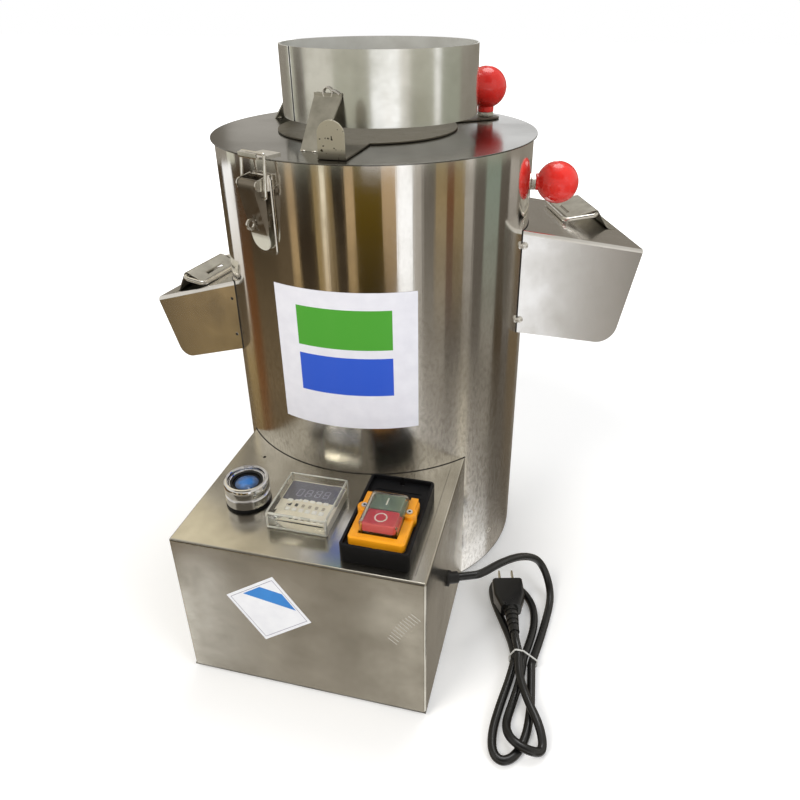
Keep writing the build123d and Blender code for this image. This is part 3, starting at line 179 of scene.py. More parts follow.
# Buffed stainless of the drum: a mirror above, scuffed lower down where hands and boxes rub it,
# with faint waves from rolling
def buffedStainless(name, light, dark, scuffed):
    material, tree, place = newMaterial(name, {"Metallic": 1.0})
    polish = grainOf(tree, place, (1.6, 1.6, 120))
    wave = grainOf(tree, place, (26, 26, 320), 1.0)
    cloud = grainOf(tree, place, 60, 4.0)
    grit = grainOf(tree, place, (2.6, 2.6, 5.0), 3.0)
    height = addNode(tree, "ShaderNodeSeparateXYZ", [place]).outputs["Z"]
    sheet = addNode(tree, "ShaderNodeValToRGB", [cloud], stops=[(0.3, dark), (0.6, light)])
    fleck = addNode(tree, "ShaderNodeMapRange", [grit, 0.45, 0.7, 0.0, 0.45])
    rubbed = addNode(tree, "ShaderNodeMapRange", [height, 0.1, 0.36, 1.0, 0.15])
    worn = addNode(tree, "ShaderNodeMath", [fleck, rubbed], operation="MULTIPLY")
    addNode(tree, "ShaderNodeMix", [worn, sheet, hexColour(scuffed)], "Base Color", data_type="RGBA")
    scuff = addNode(tree, "ShaderNodeMapRange", [height, 0.16, 0.34, 0.22, 0.09])
    smear = addNode(tree, "ShaderNodeMapRange", [cloud, 0.35, 0.6, 0.04, -0.02])
    addNode(tree, "ShaderNodeMath", [scuff, smear], "Roughness", operation="ADD", use_clamp=True)
    relief = addNode(tree, "ShaderNodeMath", [polish, 0.05, wave], operation="MULTIPLY_ADD")
    addNode(tree, "ShaderNodeBump", {"Height": relief, "Strength": 0.5, "Distance": 0.6 / 1000}, "Normal")
    return material


polishedSteel = buffedStainless("buffedStainless", "#f3f1ed", "#dfdcd6", "#a8a196")
# Lid sheet: the same stock, dark and soft, lines along X. Its darkened colour is painted shade,
# which dims all its reflections
lidSteel = steelSheet("darkenedLidStainless", "#858480", "#6d6c67", 0.14, 0.23, (120, 1.5, 1.5), 70, 0.015)
# Satin stainless of the folded box: hand-rubbed along X, with greasy smears
satinSteel = steelSheet("satinStainless", "#dcd8cd", "#b1aca0", 0.15, 0.24, (90, 0.8, 0.8), 58, 0.012)
# Satin stainless of the hoods, rubbed along Z, with fine specks
hoodSteel = steelSheet("rubbedHoodStainless", "#efeeed", "#dcdad6", 0.13, 0.21, (1.5, 1.5, 40), 40, 0.014)
# Rolled stainless of the feed ring: dull and cloudy, rubbed round
ringSteel = steelSheet("rolledRingStainless", "#e6e6e2", "#cfcfc8", 0.17, 0.24, (12, 12, 0.9), 30, 0.02)
# Offcut stainless of the legs: sheared strip, grey and dull
stripSteel = steelSheet("shearedStripStainless", "#c0bdb1", "#a29f93", 0.4, 0.52, (2.0, 2.0, 12), 14)
# Zinc-plated latch and handle stampings: bright, faintly cloudy
zincPlate = steelSheet("brightZincPlate", "#e6e3dc", "#cbc7be", 0.12, 0.22, (2.0, 2.0, 6.0), 9, 0.03)
# Plain stainless of the handle clips, sheared and bent by hand: grey and half dull
clipSteel = steelSheet("bentClipStainless", "#b9b6ab", "#97938a", 0.36, 0.47, (2.0, 8.0, 2.0), 16)
# Cold-rolled plate inside, plain and grey
plainPlate = steelSheet("coldRolledPlate", "#a9a9a6", "#7d7c78", 0.35, 0.5, (40, 2.0, 2.0), 35)
# Cast aluminium of the peeling disc: pale grey and grainy
castMetal = steelSheet("castAluminium", "#b5b4af", "#8b8a86", 0.42, 0.6, (1.6, 1.6, 1.6), 12)
# Chrome on the push button's turned bezel: a clear mirror
chromePlate = steelSheet("turnedChrome", "#ececee", "#d6d6d9", 0.05, 0.13, (1.0, 1.0, 1.0), 6, 0.008)
# Nickel on the plug's blades: warm and bright
nickelPlate = steelSheet("nickelledBrass", "#d6cfb8", "#a89f84", 0.12, 0.2, (1.2, 1.2, 5.0), 7)
# Passivated zinc of the plate's screws: pale and soft
dullZinc = steelSheet("passivatedZinc", "#efece4", "#dad6cd", 0.36, 0.46, (1.5, 1.5, 1.5), 6, 0.03)
# Weld metal: rounded and pale, with a dull skin
weldMetal = steelSheet("paleWeldMetal", "#f4f2ee", "#dedad3", 0.38, 0.48, (1.5, 1.5, 1.5), 6, 0.03)


# Plastics, prints and rubbers: one colour with a slow drift, and a fine grain of a size in millimetres
def moulded(name, light, dark, rough, grain, sockets=None, depth=0.04):
    material, tree, place = newMaterial(name, sockets)
    drift = grainOf(tree, place, 18, 3.0)
    fine = grainOf(tree, place, grain)
    addNode(tree, "ShaderNodeValToRGB", [drift], "Base Color", [(0.3, dark), (0.7, light)])
    addNode(tree, "ShaderNodeMapRange", [drift, 0.3, 0.7, rough * 1.2, rough * 0.8], "Roughness")
    addNode(tree, "ShaderNodeBump", {"Height": fine, "Strength": 0.12, "Distance": depth / 1000}, "Normal")
    return material


# Phenolic ball: dyed through, with a softened gloss
softGloss = {"Coat Weight": 0.25, "Coat Roughness": 0.08}
redPhenolic = moulded("redPhenolic", "#f2342c", "#e2251f", 0.22, 3.0, softGloss, 0.01)
# Spark-textured ABS of the housings: black, with hardly a highlight
blackAbs = moulded("blackAbs", "#121214", "#09090a", 0.5, 0.9, {"Specular IOR Level": 0.22})
# Moulded ABS of the plate, case and keys: even colours with a soft sheen
yellowAbs = moulded("yellowAbs", "#f8a71c", "#ee9a12", 0.4, 0.9)
ivoryAbs = moulded("ivoryAbs", "#e6decb", "#d8cfb8", 0.42, 0.8)
greenAbs = moulded("greenAbs", "#788774", "#687865", 0.4, 0.9)
redAbs = moulded("redAbs", "#d5484a", "#c43a3e", 0.4, 0.9)
# Screen print: thin, flat and a little chalky
whitePrint = moulded("whitePrint", "#f2efe8", "#e4e0d8", 0.5, 0.6)
lavenderPrint = moulded("lavenderPrint", "#a5a3b0", "#9694a2", 0.5, 0.6)
sandPrint = moulded("sandPrint", "#a99f8a", "#978d78", 0.5, 0.6)
bluePrint = moulded("bluePrint", "#338ad8", "#2a7ccb", 0.45, 0.6)
# Painted shade for holes and slots in a moulding: dull and dark, because little light comes out again
darkRecess = moulded("darkRecess", "#2b2621", "#1b1815", 0.6, 0.6)
# Bared metal in a fresh scratch, which scatters light
freshScratch = moulded("freshScratch", "#d6d3c9", "#bfbbb1", 0.4, 0.6)
# Painted shade with some grime, where shade falls in a welded joint, a hole, a fold or a scribed line
creviceShadeAndGrime = moulded("creviceShadeAndGrime", "#2e2a25", "#151310", 0.7, 0.7)
# Flexible PVC of the cord and plug: black with a waxy gloss
waxyGloss = {"Coat Weight": 0.25, "Coat Roughness": 0.2}
blackPvc = moulded("blackPvc", "#151515", "#0c0c0d", 0.30, 1.2, waxyGloss)
# Nitrile rubber of the feet, grommet and gasket: black and matt
blackRubber = moulded("nitrileRubber", "#1e1d1c", "#141312", 0.6, 0.8)
# Gum rubber of the chamber's lining: dark brown, matt and coarse
linerRubber = moulded("gumRubberLining", "#3a3530", "#2a2622", 0.7, 1.5)
# White PVC of the cord's tie: plain, with a faint sheen
whitePvc = moulded("whitePvcTie", "#e6e6e2", "#cfcfca", 0.4, 0.8)
# Enamel on the motor: grey, with the soft dimples of thick paint
motorPaint = moulded("greyEnamel", "#5c666c", "#4b555b", 0.4, 2.0)
# Smoked acrylic of the display: grey, smooth and glassy
glassyGloss = {"Coat Weight": 0.3, "Coat Roughness": 0.1}
smokedAcrylic = moulded("smokedAcrylic", "#67656f", "#5b5963", 0.2, 4.0, glassyGloss, 0.005)
# Cut edges of the clear cover, which gather light
gathersLight = {"Transmission Weight": 0.35, "IOR": 1.3}
edgeStyrene = moulded("litPolystyreneEdge", "#f4f2e8", "#dedbd0", 0.25, 2.0, gathersLight)


# Clear mouldings: light passes through, and rubbing leaves faint haze. The IOR is under the real one, so
# that the thin walls look as clear as they are
def clearMoulding(name, tint, rough, haze, ior):
    clear = {"Base Color": hexColour(tint), "Transmission Weight": 1.0, "IOR": ior}
    material, tree, place = newMaterial(name, clear)
    cloud = grainOf(tree, place, 7, 4.0)
    addNode(tree, "ShaderNodeMapRange", [cloud, 0.3, 0.7, rough, haze], "Roughness")
    return material


clearStyrene = clearMoulding("clearPolystyrene", "#fbfbf8", 0.02, 0.06, 1.35)
softVinyl = clearMoulding("softClearVinyl", "#efeee6", 0.06, 0.16, 1.3)
print("materials made")


def link(name, data, material, body="machine", replaced=()):
    data.materials.clear()
    data.materials.append(material)
    piece = addObject(name, data)
    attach(piece, body)
    if replaced:
        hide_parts(*replaced)
    return piece


def sharpen(mesh, angle=35):
    mesh.shade_smooth()
    mesh.set_sharp_from_angle(angle=math.radians(angle))


def plainMesh(drawn):  # what a curve or modifiers make, as a mesh of its own
    bpy.context.view_layer.update()
    return bpy.data.meshes.new_from_object(drawn.evaluated_get(bpy.context.evaluated_depsgraph_get()))


def settle(piece):  # modifiers become plain mesh
    solid = plainMesh(piece)
    piece.modifiers.clear()
    piece.data = solid
    return solid


def thicken(piece, sheet, offset=-1):  # a wall in millimetres, inwards or outwards
    wall = piece.modifiers.new("wall", "SOLIDIFY")
    wall.thickness = sheet / 1000
    wall.offset = offset
    sharpen(settle(piece))


# Points nearer than "merge" in metres are joined, bends under "flat" degrees dissolve, and bends over
# "corner" degrees are eased
skinRule = {"merge": 1e-6, "flat": 0.4, "corner": 40}


# A CAD piece with its edges eased by a width in millimetres, and a finish. Broad faces rule its shading,
# so that they mirror flat up to their bends
def dressNode(name, material, edge=0.0, segments=2):
    source = frame["nodes"][name]
    mesh = source.data.copy()
    form = bmesh.new()
    form.from_mesh(mesh)
    bmesh.ops.remove_doubles(form, verts=form.verts, dist=skinRule["merge"])
    if edge:
        flat = math.radians(skinRule["flat"])
        bmesh.ops.dissolve_limit(form, angle_limit=flat, verts=form.verts, edges=form.edges)
    form.to_mesh(mesh)
    form.free()
    if mesh.has_custom_normals:
        mesh.normals_split_custom_set([(0, 0, 0)] * len(mesh.loops))
    sharpen(mesh)
    piece = link(name + "Skin", mesh, material, source["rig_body"], (name,))
    if edge:
        ease = piece.modifiers.new("ease", "BEVEL")
        ease.width = edge / 1000
        ease.segments = segments
        ease.limit_method = "ANGLE"
        ease.angle_limit = math.radians(skinRule["corner"])
        ease.use_clamp_overlap = True
        sharpen(settle(piece))
    flats = piece.modifiers.new("flats", "WEIGHTED_NORMAL")
    flats.mode = "FACE_AREA_WITH_ANGLE"
    flats.keep_sharp = True
    settle(piece)
    return piece


def dressAll(material, edge, *names):
    for name in names:
        dressNode(name, material, edge)


def at(x, y, z):  # a place in millimetres
    return Matrix.Translation(Vector((x, y, z)) / 1000)


def polar(radius, degrees, height=0.0, centre=(0.0, 0.0)):  # round an upright axis
    turn = math.radians(degrees)
    return Vector((centre[0] + radius * math.cos(turn), centre[1] + radius * math.sin(turn), height))


def meshFrom(name, points, faces, place=Matrix()):  # points in millimetres, set in a place
    mesh = bpy.data.meshes.new(name)
    mesh.from_pydata([tuple(place @ (Vector(p) / 1000)) for p in points], [], faces)
    mesh.validate()
    return mesh


# Turned piece: (radius, height) pairs in millimetres, from the foot up, set in a place
def turnedMesh(name, profile, place, steps=72):
    points, faces, rings = [], [], []
    for radius, height in profile:
        count = steps if radius > 1e-6 else 1
        rings.append(range(len(points), len(points) + count))
        points += [polar(radius, 360 * i / count, height) for i in range(count)]
    for low, high in zip(rings, rings[1:]):
        for i in range(steps):
            k = i + 1
            ring = [low[i % len(low)], low[k % len(low)], high[k % len(high)], high[i % len(high)]]
            face = list(dict.fromkeys(ring))
            if len(face) > 2:
                faces.append(face)
    mesh = meshFrom(name, points, faces, place)
    sharpen(mesh, 28)
    return mesh


def slabMesh(name, corners, place, low, high):  # four corners, counterclockwise from above, and two levels
    points = [(x, y, level) for level in (low, high) for x, y in corners]
    faces = [(3, 2, 1, 0), (4, 5, 6, 7)] + [(i, (i + 1) % 4, (i + 1) % 4 + 4, i + 4) for i in range(4)]
    return meshFrom(name, points, faces, place)


# Faces between columns of points, each column from the foot up. Pairs of a column and a row are left out
def stripFaces(columns, rows, closed=True, leftOut=()):
    faces = []
    for i in range(columns if closed else columns - 1):
        onward = (i + 1) % columns
        for j in range(rows - 1):
            if (i, j) not in leftOut:
                faces.append((i * rows + j, onward * rows + j, onward * rows + j + 1, i * rows + j + 1))
    return faces


# Round bead along runs of points in millimetres
def makeBead(name, runs, radius, finish, body="machine"):
    curve = bpy.data.curves.new(name, "CURVE")
    curve.dimensions = "3D"
    curve.bevel_depth = radius / 1000
    curve.bevel_resolution = 2
    for points in runs:
        spline = curve.splines.new("POLY")
        spline.points.add(len(points) - 1)
        for entry, point in zip(spline.points, points):
            entry.co = (*(Vector(point) / 1000), 1.0)
    drawn = addObject(name, curve)
    mesh = plainMesh(drawn)
    bpy.data.objects.remove(drawn)
    sharpen(mesh, 60)
    link(name, mesh, finish, body)


# Geometry Nodes tree with named inputs, the last of which is the finish
def newTree(name, sockets):
    tree = bpy.data.node_groups.new(name, "GeometryNodeTree")
    for label, kind, value in [("Geometry", "Geometry", None), *sockets, ("Finish", "Material", None)]:
        socket = tree.interface.new_socket(label, in_out="INPUT", socket_type="NodeSocket" + kind)
        if value is not None:
            socket.default_value = value
    tree.interface.new_socket("Geometry", in_out="OUTPUT", socket_type="NodeSocketGeometry")
    return tree, addNode(tree, "NodeGroupInput").outputs


def endTree(tree, given, spots):
    real = addNode(tree, "GeometryNodeRealizeInstances", {"Geometry": spots})
    coat = addNode(tree, "GeometryNodeSetMaterial", {"Geometry": real, "Material": given["Finish"]})
    addNode(tree, "NodeGroupOutput", {"Geometry": coat})
    return tree


# Domed heads at the points of a mesh, each facing along the point's own vector
def headTree():
    tree, given = newTree("domedHeads", [
        ("Radius", "Float", 0.003), ("Height", "Float", 0.0018), ("Spread", "Float", 0.0),
        ("Seed", "Int", 3)])
    ball = addNode(tree, "GeometryNodeMeshUVSphere", {"Segments": 20, "Rings": 12, "Radius": 1.0})
    size = addNode(tree, "ShaderNodeCombineXYZ", [given["Radius"], given["Radius"], given["Height"]])
    dome = addNode(tree, "GeometryNodeTransform", {"Geometry": ball, "Scale": size})
    facing = addNode(tree, "GeometryNodeInputNamedAttribute", {"Name": "facing"}, data_type="FLOAT_VECTOR")
    turn = addNode(tree, "FunctionNodeAlignRotationToVector", {"Vector": facing}, axis="Z")
    low = addNode(tree, "ShaderNodeMath", [1.0, given["Spread"]], operation="SUBTRACT")
    high = addNode(tree, "ShaderNodeMath", [1.0, given["Spread"]], operation="ADD")
    scale = addNode(tree, "FunctionNodeRandomValue", {2: low, 3: high, "Seed": given["Seed"]})
    spots = addNode(tree, "GeometryNodeInstanceOnPoints", {
        "Points": given["Geometry"], "Instance": dome, "Rotation": turn, "Scale": scale})
    return endTree(tree, given, spots)


# A straight row of blocks with eased edges
def rowTree():
    tree, given = newTree("blockRow", [
        ("Count", "Int", 6), ("Start", "Vector", None), ("Step", "Vector", None), ("Size", "Vector", None)])
    line = addNode(tree, "GeometryNodeMeshLine", {
        "Count": given["Count"], "Start Location": given["Start"], "Offset": given["Step"]})
    cube = addNode(tree, "GeometryNodeMeshCube", {"Size": given["Size"]})
    soft = addNode(tree, "GeometryNodeSubdivisionSurface", {"Mesh": cube, "Level": 2, "Edge Crease": 0.72})
    spots = addNode(tree, "GeometryNodeInstanceOnPoints", {"Points": line, "Instance": soft})
    return endTree(tree, given, spots)


def runTree(name, tree, mesh, inputs, replaced=()):
    drawn = addObject(name, mesh)
    maker = drawn.modifiers.new("maker", "NODES")
    maker.node_group = tree
    for item in tree.interface.items_tree:
        if item.in_out == "INPUT" and item.name in inputs:
            maker[item.identifier] = inputs[item.name]
    made = plainMesh(drawn)
    bpy.data.objects.remove(drawn)
    sharpen(made)
    link(name, made, inputs["Finish"], "machine", replaced)


domedHeads = headTree()
blockRow = rowTree()


def layHeads(name, spots, spec, finish, replaced=()):  # spots are (point in millimetres, facing)
    mesh = meshFrom(name, [point for point, way in spots], [])
    facing = mesh.attributes.new("facing", "FLOAT_VECTOR", "POINT")
    for entry, (point, way) in zip(facing.data, spots):
        entry.vector = way
    inputs = {"Radius": spec["radius"] / 1000, "Height": spec["height"] / 1000,
              "Spread": spec.get("spread", 0.0), "Seed": spec.get("seed", 3), "Finish": finish}
    runTree(name, domedHeads, mesh, inputs, replaced)


def layRow(name, start, step, size, finish, count):
    inputs = {"Count": count, "Finish": finish}
    for label, triple in (("Start", start), ("Step", step), ("Size", size)):
        inputs[label] = [v / 1000 for v in triple]
    runTree(name, blockRow, bpy.data.meshes.new(name), inputs)


# Mains cord: the same route as the solid, as one smooth spline, in millimetres. A spline point stands a
# little outside its bend, so that the cord itself passes the route's point
cordSpec = {"radius": 3.6, "outlet": (105.0, -167.0, 71.0), "angle": 22.0, "nose": 10.0, "straight": 20.0,
            "outside": 0.22}
cordRoute = [
    (148.0, -131.0, 65.0), (164.0, -106.0, 52.0), (178.0, -90.0, 37.4), (187.0, -88.0, 24.4),
    (194.0, -96.0, 11.8), (196.5, -110.0, 4.6), (194.0, -134.0, 3.6), (190.5, -158.0, 3.6),
]
# Hank: three lanes at the tied waist and the loops between them. The last loop crosses over the other
# lower one and climbs onto the waist. Turns and the climb's spread are in half circles, the crossing's
# spread is in radians
hankSpec = {"waist": (178.0, -184.7), "lane": 7.8, "lastLane": -4.0, "lift": 1.8, "layer": 8.3,
            "crossingTurn": 0.9, "crossingSpread": 0.6, "climbTurn": 1.12, "climbSpread": 0.3, "points": 12}
lowerLeftLoop = {"toward": -1, "length": 92.6, "halfWidth": 9.3, "side": 1, "lean": -7.0, "pinch": 2}
upperLoop = {"toward": 1, "length": 90.0, "halfWidth": 17.0, "side": -1, "lean": -24.0, "pinch": 2}
lowerRightLoop = {"toward": -1, "length": 83.5, "halfWidth": 15.2, "side": -1, "lean": 14.5, "pinch": 4}
plugSpec = {"place": (167.6, -165.0, 16.1), "heading": 104.0, "straight": 8.0}


def eased(t):
    t = min(max(t, 0.0), 1.0)
    return t * t * (3 - 2 * t)


def loopPoint(turn, loop, laneIn, laneOut, climbs):
    spec = hankSpec
    along = loop["length"] * (1 - math.cos(turn)) / 2
    top = (loop["pinch"] + 1) / (loop["pinch"] + 2)
    fullest = 2 * top ** ((loop["pinch"] + 1) / 2) * math.sqrt(1 - top)
    swell = math.sin(turn) * math.sin(turn / 2) ** loop["pinch"] / fullest
    across = loop["side"] * loop["halfWidth"] * swell + loop["lean"] * (along / loop["length"]) ** 2
    across += laneIn + (laneOut - laneIn) * eased(turn / (2 * math.pi))
    height = cordSpec["radius"] + spec["lift"] * ((1 + math.cos(turn)) / 2) ** 4
    if climbs:
        hump = math.exp(-((turn - spec["crossingTurn"] * math.pi) / spec["crossingSpread"]) ** 2)
        climb = eased((turn / math.pi - spec["climbTurn"]) / spec["climbSpread"])
        height += spec["layer"] * max(hump, climb)
    return Vector((spec["waist"][0] + across, spec["waist"][1] + loop["toward"] * along, height))


def loopRun(loop, laneIn, laneOut, climbs=False):
    count = hankSpec["points"]
    turns = [2 * math.pi * i / count for i in range(1, count + 1)]
    return [loopPoint(turn, loop, laneIn, laneOut, climbs) for turn in turns]


def makeCord():
    radius, lane, last = cordSpec["radius"], hankSpec["lane"], hankSpec["lastLane"]
    way = polar(1, cordSpec["angle"])
    leave = Vector(cordSpec["outlet"]) + way * cordSpec["nose"]
    route = [leave + way * cordSpec["straight"] * part for part in (0.0, 0.5, 1.0)]
    route += [Vector(p) for p in cordRoute]
    x, y = hankSpec["waist"]
    route.append(Vector((x + lane, y, radius + hankSpec["lift"])))
    route += loopRun(lowerLeftLoop, lane, -lane)
    route += loopRun(upperLoop, -lane, 0.0)
    route += loopRun(lowerRightLoop, 0.0, last, True)
    end = Vector(plugSpec["place"])
    route += [end - polar(plugSpec["straight"], plugSpec["heading"]), end]
    curve = bpy.data.curves.new("mainsCord", "CURVE")
    curve.dimensions = "3D"
    curve.bevel_depth = radius / 1000
    curve.bevel_resolution = 5
    curve.resolution_u = 8
    spline = curve.splines.new("NURBS")
    spline.points.add(len(route) - 1)
    for i, here in enumerate(route):
        spot = here
        if 3 < i < len(route) - 3:
            spot = here + (here - (route[i - 1] + route[i + 1]) / 2) * cordSpec["outside"]
            spot.z = max(spot.z, radius)
        spline.points[i].co = (*(spot / 1000), 1.0)
    spline.order_u = 3
    spline.use_endpoint_u = True
    return link("mainsCord", curve, blackPvc, "machine", ("cord_run", "cord_hank")), leave / 1000


mainsCord, cordExit = makeCord()
plug = dressNode("plug_body", blackPvc, 0.6, 3)
blades = dressNode("plug_prongs", nickelPlate, 0.2)
cordTie = dressNode("cord_tie", whitePvc)
dressNode("cord_grommet", blackRubber, 0.4)
print("cord laid")

# Drum wall: a grid of upright strips with its windows left out, millimetres and degrees
drumWall = {"radius": 140.0, "sheet": 1.2, "levels": (5.5, 150.0, 200.0, 424.0), "step": 1.5, "clear": 0.5}
drumWindows = [  # from, to, low, high
    (-6.57, 48.57, 252.0, 338.0),
    (-179.12, -146.35, 237.0, 284.0),
    (6.24, 71.76, 376.7, 385.3),
    (-102.37, -77.63, 60.5, 100.5),
]


def makeDrum():
    spec = drumWall
    turns = {round(-180 + spec["step"] * i, 3) for i in range(int(360 / spec["step"]))}
    levels = set(spec["levels"])
    for first, second, low, high in drumWindows:
        turns = {t for t in turns if min(abs(t - first), abs(t - second)) > spec["clear"]} | {first, second}
        levels |= {low, high}
    turns, levels = sorted(turns), sorted(levels)
    middles = [(a + b) / 2 for a, b in zip(turns, turns[1:] + [turns[0] + 360])]
    heights = [(a + b) / 2 for a, b in zip(levels, levels[1:])]
    windows = {(i, j) for i, turn in enumerate(middles) for j, height in enumerate(heights)
               if any(a < turn < b and low < height < high for a, b, low, high in drumWindows)}
    points = [polar(spec["radius"], turn, level) for turn in turns for level in levels]
    faces = stripFaces(len(turns), len(levels), True, windows)
    drum = link("drumWall", meshFrom("drumWall", points, faces), polishedSteel, "machine", ("drum_shell",))
    thicken(drum, spec["sheet"])


makeDrum()
dressNode("lid_plate", lidSteel, 0.3)
print("drum and lid made")

# Feed ring: rolled by hand, so it is a fraction out of round. Its rows are shares of its height
feedRing = {"centre": (3.0, 9.0), "radius": 85.5, "sheet": 1.2, "low": 438.6, "high": 495.6, "steps": 200,
            "rows": (0.0, 0.02, 0.3, 0.7, 0.98, 1.0), "outOfRound": 0.25, "lobes": 3, "lobeTurn": 0.6,
            "dustyMetal": 0.5, "dustDepth": 0.6}
# The sheet's outer end, which lies over its start
ringLap = {"edge": -131.0, "run": 34.0, "rise": 0.9, "sunk": 0.4, "steps": 20, "lapShadow": 0.25}


def onRing(degrees, radius, height):
    return polar(radius, degrees, height, feedRing["centre"])


# Nut dust clings to the ring's inner face, which scatters light there
def dustInside(material):
    tree = material.node_tree
    out = fromAxis(tree, tree.nodes["Texture Coordinate"].outputs["Object"], *feedRing["centre"])
    inner = (feedRing["radius"] - feedRing["sheet"]) / 1000
    outer = inner + feedRing["dustDepth"] / 1000
    addNode(tree, "ShaderNodeMapRange", [out, inner, outer, feedRing["dustyMetal"], 1.0], "Metallic")


def makeFeedRing():
    spec = feedRing
    levels = [spec["low"] + part * (spec["high"] - spec["low"]) for part in spec["rows"]]
    points = []
    for i in range(spec["steps"]):
        turn = 360 * i / spec["steps"]
        wave = math.sin(spec["lobes"] * math.radians(turn) + spec["lobeTurn"])
        radius = spec["radius"] - spec["outOfRound"] * (1 - wave) / 2
        points += [onRing(turn, radius, level) for level in levels]
    faces = stripFaces(spec["steps"], len(levels))
    ring = link("feedRing", meshFrom("feedRing", points, faces), ringSteel, "machine", ("hopper_ring",))
    thicken(ring, spec["sheet"])


def makeRingLap():
    spec, ring = ringLap, feedRing
    inner = ring["radius"] - spec["sunk"]
    points, faces = [], []
    for i in range(spec["steps"] + 1):
        part = i / spec["steps"]
        turn = spec["edge"] - spec["run"] * (1 - part)
        outer = ring["radius"] + spec["rise"] * part
        section = [(inner, "low"), (outer, "low"), (outer, "high"), (inner, "high")]
        points += [onRing(turn, radius, ring[level]) for radius, level in section]
    last = spec["steps"] * 4
    for i in range(0, last, 4):
        faces += [(i + j, i + (j + 1) % 4, i + 4 + (j + 1) % 4, i + 4 + j) for j in range(4)]
    faces += [(3, 2, 1, 0), (last, last + 1, last + 2, last + 3)]
    mesh = meshFrom("ringLap", points, faces)
    sharpen(mesh)
    link("ringLap", mesh, ringSteel)


dustInside(ringSteel)
makeFeedRing()
makeRingLap()
dressNode("hopper_legs", stripSteel, 0.25)


# Gate sheet: dull, with painted shade on the flat plate that lies under the ring, a pale finger tab that
# stands up from it, pitted here and there
def pittedSheet(name, pale, paintedDark, pit):
    material, tree, place = newMaterial(name, {"Metallic": 1.0})
    height = addNode(tree, "ShaderNodeSeparateXYZ", [place]).outputs["Z"]
    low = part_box("feed_gate")[0].z
    # Below 3.5 mm over the plate's foot the colour is painted shade, above 6 mm it is the tab's pale tone
    tones = [(low + 0.0035, paintedDark), (low + 0.006, pale)]
    sheet = addNode(tree, "ShaderNodeValToRGB", [height], stops=tones)
    pits = grainOf(tree, place, 2.4, 1.0)
    speck = addNode(tree, "ShaderNodeMapRange", [pits, 0.68, 0.72, 0.0, 1.0])
    addNode(tree, "ShaderNodeMix", [speck, sheet, hexColour(pit)], "Base Color", data_type="RGBA")
    cloud = grainOf(tree, place, 14, 4.0)
    addNode(tree, "ShaderNodeMapRange", [cloud, 0.3, 0.7, 0.55, 0.42], "Roughness")
    addNode(tree, "ShaderNodeBump", {"Height": speck, "Strength": 0.3, "Distance": 0.1 / 1000}, "Normal")
    return material


gateSteel = pittedSheet("pittedGateStainless", "#d8d4c4", "#666157", "#4a463c")
dressNode("feed_gate", gateSteel, 0.25)

# Ball knobs: a polished ball with a parting line, on a short neck bored for its stud
ballKnob = {"ball": 18.75, "neck": 7.5, "bore": 4.1, "edge": 0.6, "steps": 40, "lineStep": 17, "line": 0.12}
doorSeat = (Matrix.Rotation(math.radians(8), 4, "Z") @ at(144.3, 0, 381.0)
            @ Matrix.Rotation(math.pi / 2, 4, "Y"))
knobSeats = {"lid_knob": (at(86.5, 78.0, 431.3), 5.0), "door_knob": (doorSeat, 2.4)}  # place, neck's length


def knobProfile(spec, length):
    ball, neck, steps = spec["ball"], spec["neck"], spec["steps"]
    centre = length + math.sqrt(ball ** 2 - neck ** 2)
    sweep = math.pi - math.asin(neck / ball)
    profile = [(spec["bore"], 0), (neck - spec["edge"], 0), (neck, spec["edge"])]
    for i in range(steps):
        bend = sweep * (1 - i / steps)
        raised = spec["line"] if i == spec["lineStep"] else 0.0
        profile.append((ball * math.sin(bend) + raised, centre + ball * math.cos(bend)))
    return profile + [(0.0, centre + ball)]


for name, (seat, length) in knobSeats.items():
    ball = turnedMesh(name + "Ball", knobProfile(ballKnob, length), seat, 96)
    link(name + "Ball", ball, redPhenolic, frame["nodes"][name]["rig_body"], (name,))
dressAll(zincPlate, 0.3, "lid_knob_stud", "door_stud")
print("feed ring, gate and knobs made")


# Dull zinc of the latch levers, darkened above the finger tab as a painted dark reflection, and pale and
# half non-metal at the finger tab, which is the lowest 14 mm
def leverZinc(name, pale, paintedDark):
    material, tree, place = newMaterial(name)
    height = addNode(tree, "ShaderNodeSeparateXYZ", [place]).outputs["Z"]
    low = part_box("front_latch_lever")[0].z
    start, end = low + 0.0135, low + 0.0145
    addNode(tree, "ShaderNodeValToRGB", [height], "Base Color", [(start, pale), (end, paintedDark)])
    addNode(tree, "ShaderNodeMapRange", [height, start, end, 0.2, 1.0], "Metallic")
    cloud = grainOf(tree, place, 9, 4.0)
    addNode(tree, "ShaderNodeMapRange", [cloud, 0.3, 0.7, 0.44, 0.3], "Roughness")
    streak = grainOf(tree, place, (2, 2, 6))
    addNode(tree, "ShaderNodeBump", {"Height": streak, "Strength": 0.06, "Distance": 0.05 / 1000}, "Normal")
    return material


# Hoods, handles and latches
leverSteel = leverZinc("darkReflectionLeverZinc", "#dcdacb", "#8b8377")
dressAll(hoodSteel, 0.25, "right_hood", "left_hood")
dressAll(clipSteel, 0.2, "right_handle_clip", "left_handle_clip")
dressAll(zincPlate, 0.2, "lid_catches", "front_latch_base", "rear_latch_base")
dressAll(leverSteel, 0.2, "front_latch_lever", "rear_latch_lever")
dressAll(zincPlate, 0.0, "right_handle_bail", "left_handle_bail", "front_latch_bail", "rear_latch_bail")

